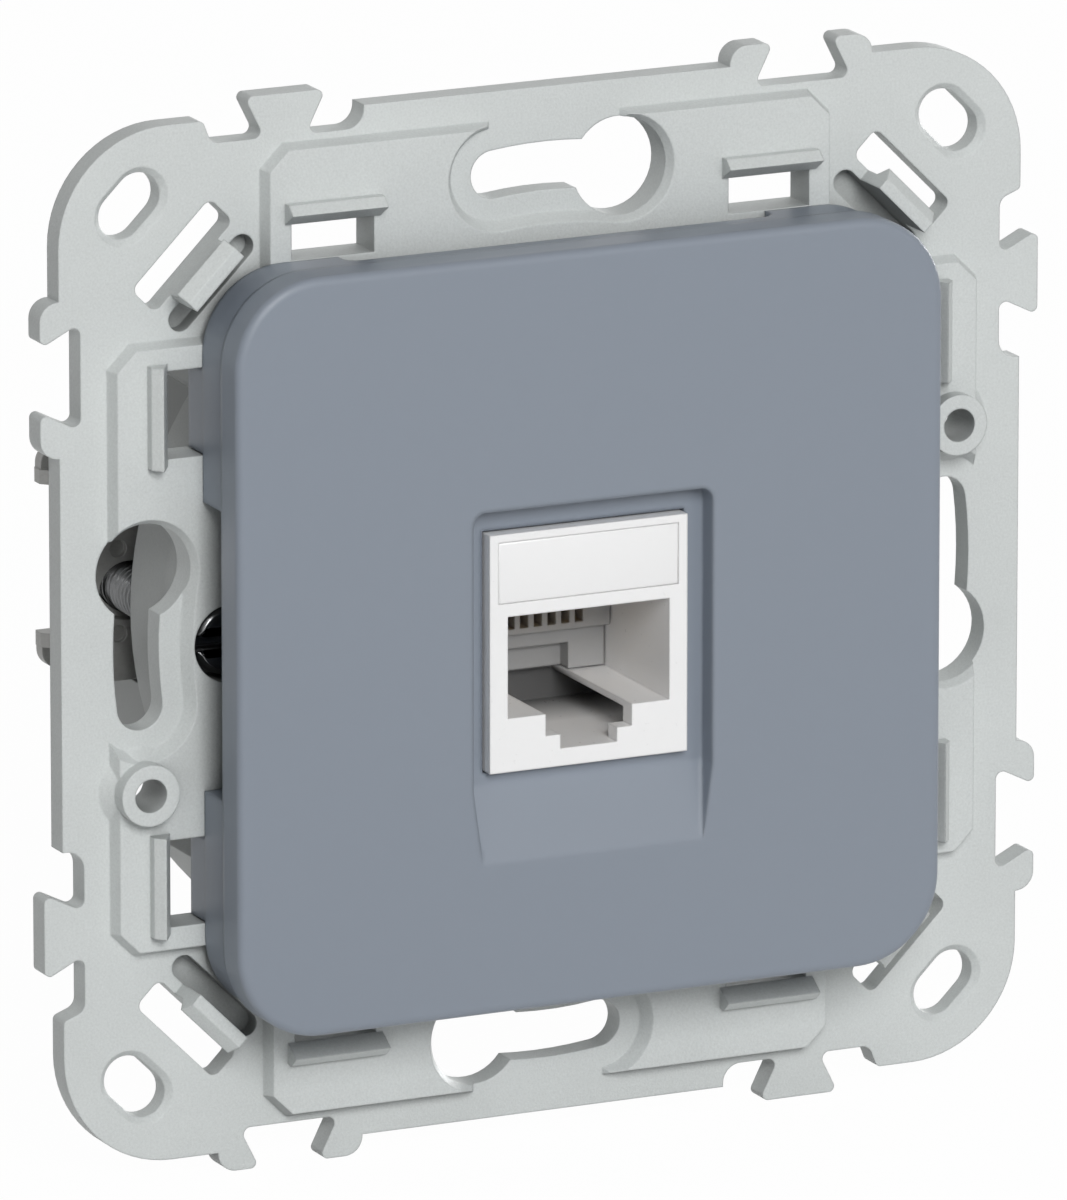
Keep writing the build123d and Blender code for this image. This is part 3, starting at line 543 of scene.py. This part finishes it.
def moulded_plastic(name, colour, roughness, edge, grain, depth, spread, painted_shade=0.0, painted_room_shade=None):
    """Injection-moulded plastic: grain and depth of its tool's surface are in millimetres."""
    material, tree = new_material(name)
    place = place_of(tree)
    fine = add_node(
        tree,
        "ShaderNodeTexNoise",
        {"Vector": place, "Scale": 1 / grain, "Detail": 2.0, "Roughness": 0.6},
    )
    cloud = add_node(
        tree,
        "ShaderNodeTexNoise",
        {"Vector": place, "Scale": CLOUDS, "Detail": 2.0, "Roughness": 0.5},
    )
    both = add_node(
        tree,
        "ShaderNodeMix",
        {0: CLOUD_SHARE, 2: fine.outputs["Fac"], 3: cloud.outputs["Fac"]},
        data_type="FLOAT",
    )
    tint = shades(tree, both.outputs[0], colour, spread)
    # painted shade: the colour greys in closed-in places and inwards in a deep room
    if painted_shade:
        tint = painted_recess_shade(tree, tint, painted_shade)
    if painted_room_shade:
        tint = painted_inward_shade(tree, tint, **painted_room_shade)
    gloss = fine.outputs["Fac"]
    roughness_range = (roughness - PLASTIC_GLOSS, roughness + PLASTIC_GLOSS)
    grained_skin(tree, tint, gloss, roughness_range, gloss, depth, edge, IOR=1.53)
    return material


def plated_metal(name, colour, roughness, edge, stretch, depth, spread=0.08, metallic=1.0):
    """Metal with lines: the stretch gives their number in a millimetre along each axis."""
    material, tree = new_material(name)
    lines = add_node(
        tree,
        "ShaderNodeTexNoise",
        {"Vector": place_of(tree, stretch), "Scale": 1.0, "Detail": 3.0, "Roughness": 0.6},
    )
    stain = add_node(
        tree, "ShaderNodeTexNoise", {"Vector": place_of(tree), "Scale": 0.6, "Detail": 3.0}
    )
    both = add_node(
        tree,
        "ShaderNodeMix",
        {0: 0.5, 2: lines.outputs["Fac"], 3: stain.outputs["Fac"]},
        data_type="FLOAT",
    )
    tint = shades(tree, both.outputs[0], colour, spread)
    roughness_range = [roughness * factor for factor in METAL_GLOSS]
    relief = lines.outputs["Fac"]
    grained_skin(
        tree, tint, both.outputs[0], roughness_range, relief, depth, edge, Metallic=metallic
    )
    return material


def turned_steel(name, colour, roughness, edge, axis, depth=0.01, spread=0.25):
    """Turned steel: rings 0.3 mm apart about axes this far across and up, in mm, in all four quarters."""
    material, tree = new_material(name)
    apart = add_node(tree, "ShaderNodeVectorMath", {0: place_of(tree)}, operation="ABSOLUTE")
    centred = add_node(
        tree,
        "ShaderNodeVectorMath",
        {0: apart.outputs["Vector"], 1: (axis[0], 0.0, axis[1])},
        operation="SUBTRACT",
    )
    rings = add_node(
        tree,
        "ShaderNodeTexWave",
        {
            "Vector": centred.outputs["Vector"],
            "Scale": TURNING_LINES,
            "Distortion": 0.4,
            "Detail": 1.0,
        },
        wave_type="RINGS",
        rings_direction="Y",
    )
    stain = add_node(
        tree,
        "ShaderNodeTexNoise",
        {"Vector": centred.outputs["Vector"], "Scale": 0.9, "Detail": 3.0},
    )
    gloss = stain.outputs["Fac"]
    tint = shades(tree, gloss, colour, spread)
    roughness_range = [roughness * factor for factor in METAL_GLOSS]
    relief = rings.outputs["Fac"]
    grained_skin(tree, tint, gloss, roughness_range, relief, depth, edge, Metallic=1.0)
    return material


def solder_resist(name, colour):
    """Lacquer over a woven glass laminate: a faint weave of 0.5 mm under a glossy coat."""
    material, tree = new_material(name)
    place = place_of(tree)
    across, up = (
        add_node(
            tree,
            "ShaderNodeTexWave",
            {"Vector": place, "Scale": WEAVE_LINES, "Distortion": 0.3},
            bands_direction=direction,
        )
        for direction in "XZ"
    )
    weave = add_node(
        tree,
        "ShaderNodeMath",
        {0: across.outputs["Fac"], 1: up.outputs["Fac"]},
        operation="MULTIPLY",
    )
    bump = add_node(
        tree,
        "ShaderNodeBump",
        {"Height": weave.outputs["Value"], "Distance": 0.01 * MM, "Strength": 0.6},
    )
    shader = add_node(
        tree,
        "ShaderNodeBsdfPrincipled",
        {
            "Base Color": shades(tree, weave.outputs["Value"], colour, 0.12),
            "Roughness": 0.32,
            "IOR": 1.52,
            "Normal": bump.outputs["Normal"],
        },
    )
    add_node(tree, "ShaderNodeOutputMaterial", {"Surface": shader.outputs["BSDF"]})
    return material


def ink(name, colour, striped):
    """Pad-printed ink, plain or with white stripes 0.5 mm apart, for the two wires of a pair."""
    material, tree = new_material(name)
    place = place_of(tree)
    grain = add_node(tree, "ShaderNodeTexNoise", {"Vector": place, "Scale": 8.0, "Detail": 2.0})
    tint = shades(tree, grain.outputs["Fac"], colour, 0.1)
    if striped:
        bands = add_node(
            tree,
            "ShaderNodeTexWave",
            {"Vector": place, "Scale": WEAVE_LINES},
            bands_direction="DIAGONAL",
        )
        step = add_node(
            tree,
            "ShaderNodeMath",
            {0: bands.outputs["Fac"], 1: 0.5},
            operation="GREATER_THAN",
        )
        mix = add_node(
            tree,
            "ShaderNodeMix",
            {0: step.outputs["Value"], 6: tint, 7: [*linear(MARK_STRIPE), 1.0]},
            data_type="RGBA",
        )
        tint = mix.outputs[2]
    shader = add_node(
        tree, "ShaderNodeBsdfPrincipled", {"Base Color": tint, "Roughness": 0.45, "IOR": 1.5}
    )
    add_node(tree, "ShaderNodeOutputMaterial", {"Surface": shader.outputs["BSDF"]})
    return material


def make_materials(sizes, colours):
    """Every material of the object by its slot."""
    return {
        # pale grey polycarbonate blend, eroded tool: an even satin with a fine sandy grain, and painted
        # shade in nooks and on the collar
        "frame_plastic": moulded_plastic(
            "eroded polycarbonate",
            colours.frame,
            0.5,
            sizes.frame_edge,
            grain=0.17,
            depth=0.025,
            spread=0.19,
            painted_shade=0.7,
            painted_room_shade=COLLAR_PAINTED_SHADE,
        ),
        # the same plastic from a coarser tool, darker and duller, with painted shade in closed-in places
        "housing_plastic": moulded_plastic(
            "coarse eroded polycarbonate",
            colours.housing,
            0.55,
            sizes.frame_edge,
            grain=0.25,
            depth=0.016,
            spread=0.06,
            painted_shade=0.3,
        ),
        # blue grey weather-proof styrene: silky and nearly without grain, with soft reflections
        "cover_plastic": moulded_plastic(
            "satin styrene",
            colours.cover,
            0.42,
            sizes.cover_edge,
            grain=0.12,
            depth=0.002,
            spread=0.012,
        ),
        # white polycarbonate from a polished tool: smooth with a clear highlight, and painted shade deep in
        # the latch room
        "jack_plastic": moulded_plastic(
            "polished white polycarbonate",
            colours.jack,
            0.3,
            sizes.jack_edge,
            grain=0.4,
            depth=0.001,
            spread=0.01,
            painted_room_shade=LATCH_ROOM_PAINTED_SHADE,
        ),
        # the same plastic from a finer polished tool: a sharper highlight on the label carrier
        "label_plastic": moulded_plastic(
            "glossy white polycarbonate",
            colours.jack,
            0.22,
            sizes.jack_edge,
            grain=0.6,
            depth=0.001,
            spread=0.008,
        ),
        # polyester: chalky grey white with faint flow marks
        "carrier_plastic": moulded_plastic(
            "white polyester",
            colours.carrier,
            0.45,
            sizes.jack_edge,
            grain=0.3,
            depth=0.004,
            spread=0.03,
        ),
        # the same filled with glass: duller, with a rougher skin
        "terminal_plastic": moulded_plastic(
            "glass-filled white polyester",
            colours.carrier,
            0.5,
            sizes.jack_edge,
            grain=0.3,
            depth=0.008,
            spread=0.035,
        ),
        # green lacquer: glossy, with the weave of the laminate faintly under it
        "board_laminate": solder_resist("solder resist on glass laminate", colours.resist),
        # the same lacquer over copper: the lines show as a lighter green
        "track_lacquer": solder_resist(
            "solder resist on copper",
            [min(1.0, channel * TRACK_LIGHTER) for channel in colours.resist],
        ),
        # gold flash over spring bronze: warm, smooth, drawn along the wire
        "contact_gold": plated_metal(
            "gold-plated bronze",
            colours.gold,
            0.22,
            sizes.wire_edge,
            stretch=(12.0, 1.0, 1.0),
            depth=0.001,
        ),
        # tinned bronze strip: pale grey with fine rolling lines
        "blade_tin": plated_metal(
            "tinned bronze",
            colours.tin,
            0.33,
            sizes.wire_edge,
            stretch=(1.0, 1.0, 10.0),
            depth=0.001,
        ),
        # dark oiled zinc on turned screws: bright arcs on dark rings
        "claw_screw": turned_steel(
            "oiled zinc-plated steel",
            colours.claw_screw,
            0.24,
            sizes.metal_edge,
            axis=(CLAW_SCREW_ACROSS, 0.0),
        ),
        # dry zinc on the small screws: the same rings, paler
        "small_screw": turned_steel(
            "zinc-plated steel",
            colours.small_screw,
            0.26,
            sizes.metal_edge,
            axis=(SMALL_SCREW_ACROSS, SMALL_SCREW_UP),
        ),
        # zinc-plated sheet: dull dark grey, its metal half hidden by a rough, pitted chromate skin
        "claw_steel": plated_metal(
            "zinc-plated sheet steel",
            colours.claw_steel,
            0.5,
            sizes.metal_edge,
            stretch=(3.5, 3.5, 6.0),
            depth=0.03,
            spread=0.3,
            metallic=0.45,
        ),
        # tin solder that set in small cones: bright, a little uneven
        "solder": plated_metal(
            "tin solder",
            colours.solder,
            0.2,
            sizes.wire_edge,
            stretch=(3.0, 3.0, 3.0),
            depth=0.002,
        ),
    }


# Shapes


def material_for(slot):
    """The material of a slot; all of them are made when the first is asked for."""
    if not MATERIALS:
        scene = bpy.context.scene
        MATERIALS.update(make_materials(scene.socket_sizes, scene.socket_colours))
    return MATERIALS[slot]


def body_of(node):
    """Name of the body that a CAD node belongs to."""
    return next(name for name, members in BODIES.items() if node in members)


def finish_nodes(finishes):
    """Gives CAD nodes the material of their slot."""
    for node, slot in finishes.items():
        materials = frame["nodes"][node].data.materials
        materials.clear()
        materials.append(material_for(slot))


def finish_piece(mesh, name, material, body, nodes=(), sharp=32.0):
    """Makes an object of a bmesh that rides on a body, and stands for CAD nodes if any are named.

    Edges that turn by more than the sharp angle, in degrees, stay sharp.
    """
    data = bpy.data.meshes.new(name)
    mesh.to_mesh(data)
    mesh.free()
    data.shade_smooth()
    data.set_sharp_from_angle(angle=math.radians(sharp))
    data.materials.append(material)
    piece = bpy.data.objects.new(name, data)
    bpy.context.scene.collection.objects.link(piece)
    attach(piece, body)
    if nodes:
        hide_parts(*nodes)


def merge(mesh):
    """Joins the vertices that share a place."""
    bmesh.ops.remove_doubles(mesh, verts=mesh.verts, dist=MERGED)


def copy_of(node):
    """Copy of a CAD node's mesh with its loose triangles joined."""
    mesh = bmesh.new()
    mesh.from_mesh(frame["nodes"][node].data)
    merge(mesh)
    return mesh


def join_flat_faces(mesh):
    """Makes one face of the triangles that lie in a plane."""
    bmesh.ops.dissolve_limit(
        mesh, angle_limit=math.radians(1), verts=mesh.verts[:], edges=mesh.edges[:]
    )


def round_edges(mesh, edges, offset, segments):
    """Rounds these edges, starting this far from them."""
    bmesh.ops.bevel(
        mesh,
        geom=edges,
        offset=offset,
        offset_type="OFFSET",
        affect="EDGES",
        segments=segments,
        profile=0.5,
        material=-1,
    )


def cut_off(mesh, place, direction):
    """Takes away what lies past this place along Y, in millimetres, in this direction."""
    bmesh.ops.bisect_plane(
        mesh,
        geom=mesh.verts[:] + mesh.edges[:] + mesh.faces[:],
        plane_co=(0.0, place * MM, 0.0),
        plane_no=(0.0, direction, 0.0),
        clear_outer=True,
    )


def close_holes(mesh):
    """Closes every open rim with a face."""
    bmesh.ops.holes_fill(mesh, edges=[edge for edge in mesh.edges if edge.is_boundary], sides=0)


def vertices_in(parts):
    """The vertices among the parts that an operator gives back."""
    return [part for part in parts if isinstance(part, bmesh.types.BMVert)]


def thread(mesh, centre, radius, pitch, depth, start, end, taper):
    """Adds a right-hand thread along Y: a spun profile, cut square at its ends and closed."""
    across, up = centre
    made = bmesh.new()
    corners = [
        made.verts.new(
            (
                (across + radius - depth * (1.0 - rise)) * MM,
                (start + (at - 1.0) * pitch) * MM,
                up * MM,
            )
        )
        for rise, at in THREAD_PROFILE
    ]
    edges = [made.edges.new(pair) for pair in zip(corners, corners[1:])]
    turns = math.ceil((end - start) / pitch) + 2
    bmesh.ops.spin(
        made,
        geom=corners + edges,
        cent=(across * MM, 0.0, up * MM),
        axis=(0.0, 1.0, 0.0),
        dvec=(0.0, pitch * MM / TURN_STEPS, 0.0),
        angle=2 * math.pi * turns,
        steps=TURN_STEPS * turns,
    )
    merge(made)
    cut_off(made, start, -1.0)
    cut_off(made, end, 1.0)
    close_holes(made)
    bmesh.ops.recalc_face_normals(made, faces=made.faces)
    tip, towards = (end, -1.0) if taper > 0 else (start, 1.0)
    for vertex in made.verts:
        gone = 1.0 - (vertex.co.y / MM - tip) * towards / abs(taper)
        if gone > 0:
            share = 1.0 - TIP_NARROWING * min(gone, 1.0)
            vertex.co.x = across * MM + (vertex.co.x - across * MM) * share
            vertex.co.z = up * MM + (vertex.co.z - up * MM) * share
    data = bpy.data.meshes.new("thread")
    made.to_mesh(data)
    made.free()
    mesh.from_mesh(data)
    bpy.data.meshes.remove(data)


class SOCKET_OT_mouldings(bpy.types.Operator):
    """Gives the plastic mouldings their plastics"""

    bl_idname = "socket.mouldings"
    bl_label = "Plastic mouldings"

    def execute(self, context):
        finish_nodes(MOULDINGS)
        return {"FINISHED"}


class SOCKET_OT_label(bpy.types.Operator):
    """Makes the label carrier with rounded edges that meet its seat with a hairline"""

    bl_idname = "socket.label"
    bl_label = "Label carrier"

    def execute(self, context):
        mesh = copy_of("label_carrier")
        join_flat_faces(mesh)
        low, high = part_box("label_carrier")
        size, centre = high - low, (high + low) / 2
        fill = 2 * LABEL_FILL * MM
        grown = Vector((1 + fill / size.x, 1.0, 1 + fill / size.z))
        bmesh.ops.scale(mesh, vec=grown, space=Matrix.Translation(-centre), verts=mesh.verts)
        rim = [
            edge
            for edge in mesh.edges
            if all(vertex.co.y < low.y + NEAR for vertex in edge.verts)
        ]
        round_edges(mesh, rim, context.scene.socket_sizes.jack_edge / 2, segments=3)
        finish_piece(
            mesh,
            "label_carrier_rounded",
            material_for("label_plastic"),
            body_of("label_carrier"),
            ("label_carrier",),
            sharp=50.0,
        )
        return {"FINISHED"}


class SOCKET_OT_claws(bpy.types.Operator):
    """Gives the claws and their nuts their steel"""

    bl_idname = "socket.claws"
    bl_label = "Claws and nuts"

    def execute(self, context):
        finish_nodes(STEEL_PARTS)
        return {"FINISHED"}


class SOCKET_OT_screws(bpy.types.Operator):
    """Cuts the threads of the screws and rounds the heads of the claw screws"""

    bl_idname = "socket.screws"
    bl_label = "Screws"

    def execute(self, context):
        for node, (centres, shape, cut) in SCREWS.items():
            claw_screw = shape is CLAW_THREAD
            mesh = copy_of(node)
            cut_off(mesh, cut, 1.0 if claw_screw else -1.0)
            close_holes(mesh)
            if claw_screw:
                self.round_head(mesh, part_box(node), centres[0], context.scene.socket_sizes.head_round)
            for centre in centres:
                thread(mesh, centre, **shape)
            metal = material_for("claw_screw" if claw_screw else "small_screw")
            finish_piece(mesh, f"{node}_threaded", metal, body_of(node), (node,))
        return {"FINISHED"}

    def round_head(self, mesh, box, centre, offset):
        """Rounds the front rim of a head, on both sides of its slot."""
        join_flat_faces(mesh)
        front, radius = box[0].y, (box[1].z - box[0].z) / 2

        def on_rim(vertex):
            reach = math.hypot(vertex.co.x - centre[0] * MM, vertex.co.z - centre[1] * MM)
            return vertex.co.y < front + NEAR and reach > radius - 2 * NEAR

        rim = [edge for edge in mesh.edges if all(on_rim(vertex) for vertex in edge.verts)]
        round_edges(mesh, rim, offset, segments=6)


class SOCKET_OT_contacts(bpy.types.Operator):
    """Gives the contact wires and terminal blades their metals and the board its lacquer"""

    bl_idname = "socket.contacts"
    bl_label = "Contacts and board"

    def execute(self, context):
        finish_nodes(CONTACTS)
        return {"FINISHED"}


def tail_places():
    """Across and up of the contact tails, in millimetres."""
    return [(middle(wire, 0), span(wire, 2)[1] - TAIL_HALF) for wire in WIRES]


def pin_places():
    """Across and up of the terminal pins, in millimetres, the upper block first."""
    return [(middle(blade, 0), middle(blade, 2)) for blade in BLADES]


class SOCKET_OT_solder(bpy.types.Operator):
    """Solders the contact tails behind the board and the terminal pins in front of it"""

    bl_idname = "socket.solder"
    bl_label = "Solder joints"

    def execute(self, context):
        height = context.scene.socket_sizes.solder_height
        mesh = bmesh.new()
        rows = [(place, BOARD_BACK, 1.0, TAIL_SOLDER) for place in tail_places()]
        rows += [(place, BOARD_FRONT, -1.0, PIN_SOLDER) for place in pin_places()]
        for (across, up), face, away, reach in rows:
            profile = [(reach * wide, high) for wide, high in SOLDER_PROFILE]
            profile.append((SOLDER_TOP, 1.0))
            corners = [
                mesh.verts.new(
                    ((across + radius) * MM, face * MM + away * share * height, up * MM)
                )
                for radius, share in profile
            ]
            foot = mesh.verts.new((across * MM, corners[0].co.y, up * MM))
            top = mesh.verts.new((across * MM, corners[-1].co.y, up * MM))
            chain = [foot, *corners, top]
            edges = [mesh.edges.new(pair) for pair in zip(chain, chain[1:])]
            bmesh.ops.spin(
                mesh,
                geom=chain + edges,
                cent=(across * MM, 0.0, up * MM),
                axis=(0.0, 1.0, 0.0),
                angle=2 * math.pi,
                steps=20,
                use_merge=True,
            )
        merge(mesh)
        bmesh.ops.recalc_face_normals(mesh, faces=mesh.faces)
        finish_piece(mesh, "solder_joints", material_for("solder"), "base")
        return {"FINISHED"}


class SOCKET_OT_tracks(bpy.types.Operator):
    """Lays the copper tracks from the contact tails to the terminal pins under the solder resist"""

    bl_idname = "socket.tracks"
    bl_label = "Copper tracks"

    def execute(self, context):
        half = context.scene.socket_sizes.track_width / 2
        foot = (BOARD_BACK - TRACK_SUNK) * MM
        mesh = bmesh.new()
        pins = pin_places()
        for index, (across, up) in enumerate(tail_places()):
            upper = index % 2 == 1
            pin = pins[index // 2 + (0 if upper else 4)]
            way = 1.0 if upper else -1.0
            bend = up + way * (TRACK_BEND + TRACK_STAGGER * abs(index // 2 - 1.5))
            slant = bend + way * abs(pin[0] - across) * TRACK_SLANT
            stop = pin[1] - way * TRACK_STOP
            route = [(across, up), (across, bend), (pin[0], slant), (pin[0], stop)]
            left = mesh.verts.new((across * MM - half, foot, up * MM))
            right = mesh.verts.new((across * MM + half, foot, up * MM))
            edge = mesh.edges.new((left, right))
            for (x0, z0), (x1, z1) in zip(route, route[1:]):
                grown = bmesh.ops.extrude_edge_only(mesh, edges=[edge])["geom"]
                step = ((x1 - x0) * MM, 0.0, (z1 - z0) * MM)
                bmesh.ops.translate(mesh, verts=vertices_in(grown), vec=step)
                edge = next(part for part in grown if isinstance(part, bmesh.types.BMEdge))
        raised = bmesh.ops.extrude_face_region(mesh, geom=mesh.faces[:])["geom"]
        bmesh.ops.translate(mesh, verts=vertices_in(raised), vec=(0.0, TRACK_HEIGHT * MM, 0.0))
        bmesh.ops.recalc_face_normals(mesh, faces=mesh.faces)
        finish_piece(mesh, "board_tracks", material_for("track_lacquer"), "base")
        return {"FINISHED"}


class SOCKET_OT_pair_marks(bpy.types.Operator):
    """Prints a plain and a striped mark for each wire pair on the terminal blocks"""

    bl_idname = "socket.pair_marks"
    bl_label = "Wire pair marks"

    def execute(self, context):
        size = Matrix.Diagonal((MARK_SIDE * MM, MARK_THICKNESS * MM, MARK_SIDE * MM, 1.0))
        pins = pin_places()
        for pair, (name, colour) in enumerate(MARK_COLOURS.items()):
            for striped in (False, True):
                across, up = pins[2 * pair + striped]
                centre = Vector((across, BLOCK_BACK + MARK_OUT, up)) * MM
                mesh = bmesh.new()
                for side in (-1.0, 1.0):
                    for shift in (-1.0, 1.0):
                        offset = Vector((shift * MARK_ACROSS, 0.0, side * MARK_UP)) * MM
                        place = Matrix.Translation(centre + offset)
                        bmesh.ops.create_cube(mesh, size=1.0, matrix=place @ size)
                corners = [
                    edge
                    for edge in mesh.edges
                    if abs((edge.verts[0].co - edge.verts[1].co).y) > NEAR
                ]
                round_edges(mesh, corners, MARK_CORNER * MM, segments=3)
                kind = "striped" if striped else "plain"
                material = ink(f"{name} ink {kind}", linear(colour), striped)
                finish_piece(
                    mesh, f"pair_mark_{name}_{kind}", material, "base"
                )
        return {"FINISHED"}


class SOCKET_OT_stage(bpy.types.Operator):
    """Adds the floor, the world, the lamps and the camera"""

    bl_idname = "socket.stage"
    bl_label = "Stage"

    def execute(self, context):
        scene = context.scene
        scene.view_settings.view_transform = "Standard"
        self.make_world(scene)
        self.make_floor(scene)
        self.make_lamps(scene)
        self.make_camera(scene)
        return {"FINISHED"}

    def make_world(self, scene):
        """Plain light from all round, and white where the camera or a reflection meets it."""
        world = bpy.data.worlds.new("studio")
        world.use_nodes = True
        tree = world.node_tree
        tree.nodes.clear()
        plain = [*linear("FFFFFF"), 1.0]
        light = add_node(tree, "ShaderNodeBackground", {"Color": plain, "Strength": WORLD_LIGHT})
        white = add_node(tree, "ShaderNodeBackground", {"Color": plain, "Strength": 1.0})
        mix = add_node(
            tree,
            "ShaderNodeMixShader",
            {0: seen_directly(tree), 1: light.outputs["Background"], 2: white.outputs["Background"]},
        )
        add_node(tree, "ShaderNodeOutputWorld", {"Surface": mix.outputs["Shader"]})
        scene.world = world

    def make_floor(self, scene):
        """White floor that the object stands on, which keeps a faint shadow."""
        mesh = bmesh.new()
        side = scene.socket_sizes.floor_size
        bmesh.ops.create_grid(
            mesh,
            x_segments=2,
            y_segments=2,
            size=side / 2,
            matrix=Matrix.Translation((0.0, 0.0, CAD_BOX[0].z)),
        )
        data = bpy.data.meshes.new("floor")
        mesh.to_mesh(data)
        mesh.free()
        material, tree = new_material("white floor")
        share = add_node(
            tree, "ShaderNodeMath", {0: seen_directly(tree), 1: FLOOR_WHITE}, operation="MULTIPLY"
        )
        matt = add_node(tree, "ShaderNodeBsdfDiffuse", {"Color": [*linear(FLOOR_COLOUR), 1.0]})
        white = add_node(tree, "ShaderNodeEmission", {"Strength": 1.0})
        mix = add_node(
            tree,
            "ShaderNodeMixShader",
            {0: share.outputs["Value"], 1: matt.outputs["BSDF"], 2: white.outputs["Emission"]},
        )
        add_node(tree, "ShaderNodeOutputMaterial", {"Surface": mix.outputs["Shader"]})
        data.materials.append(material)
        floor = bpy.data.objects.new("floor", data)
        scene.collection.objects.link(floor)

    def make_lamps(self, scene):
        """Soft lamps: a strong one high in front, a weak one to its right, and one at the right behind."""
        for name, (place, size, power) in LAMPS.items():
            light = bpy.data.lights.new(name, "AREA")
            light.shape = "SQUARE"
            light.size = size
            light.energy = power
            lamp = bpy.data.objects.new(name, light)
            lamp.location = place
            lamp.rotation_mode = "QUATERNION"
            lamp.rotation_quaternion = (-Vector(place)).to_track_quat("-Z", "Y")
            scene.collection.objects.link(lamp)

    def make_camera(self, scene):
        """Long lens from the front left, a little above."""
        azimuth, elevation = math.radians(CAMERA_AZIMUTH), math.radians(CAMERA_ELEVATION)
        back = Vector(
            (
                math.sin(azimuth) * math.cos(elevation),
                -math.cos(azimuth) * math.cos(elevation),
                math.sin(elevation),
            )
        )
        lens = bpy.data.cameras.new("camera")
        lens.sensor_width = 36.0
        lens.lens = CAMERA_LENS
        camera = bpy.data.objects.new("camera", lens)
        camera.location = Vector(CAMERA_TARGET) + back * CAMERA_DISTANCE
        camera.rotation_mode = "QUATERNION"
        camera.rotation_quaternion = (-back).to_track_quat("-Z", "Y")
        scene.collection.objects.link(camera)
        scene.camera = camera


class SOCKET_PT_panel(bpy.types.Panel):
    """Lists the sizes, the colours and the steps of the finishing work"""

    bl_idname = "SOCKET_PT_panel"
    bl_label = "Socket insert"
    bl_space_type = "VIEW_3D"
    bl_region_type = "UI"
    bl_category = "Socket"

    def draw(self, context):
        for group in (context.scene.socket_sizes, context.scene.socket_colours):
            column = self.layout.column(align=True)
            for name in type(group).__annotations__:
                column.prop(group, name)
        column = self.layout.column(align=True)
        for operator in OPERATORS:
            column.operator(operator.bl_idname)


OPERATORS = (
    SOCKET_OT_mouldings,
    SOCKET_OT_label,
    SOCKET_OT_claws,
    SOCKET_OT_screws,
    SOCKET_OT_contacts,
    SOCKET_OT_solder,
    SOCKET_OT_tracks,
    SOCKET_OT_pair_marks,
    SOCKET_OT_stage,
)
GROUPS = (SocketSizes, SocketColours)
MATERIALS = {}


def register():
    for group in (*GROUPS, *OPERATORS, SOCKET_PT_panel):
        bpy.utils.register_class(group)
    bpy.types.Scene.socket_sizes = bpy.props.PointerProperty(type=SocketSizes)
    bpy.types.Scene.socket_colours = bpy.props.PointerProperty(type=SocketColours)


def unregister():
    del bpy.types.Scene.socket_colours
    del bpy.types.Scene.socket_sizes
    for group in (SOCKET_PT_panel, *reversed(OPERATORS), *reversed(GROUPS)):
        bpy.utils.unregister_class(group)


def main():
    register()
    bpy.ops.socket.mouldings()
    bpy.ops.socket.label()
    bpy.ops.socket.claws()
    bpy.ops.socket.screws()
    bpy.ops.socket.contacts()
    bpy.ops.socket.solder()
    bpy.ops.socket.tracks()
    bpy.ops.socket.pair_marks()
    bpy.ops.socket.stage()


if __name__ == "__main__":
    main()
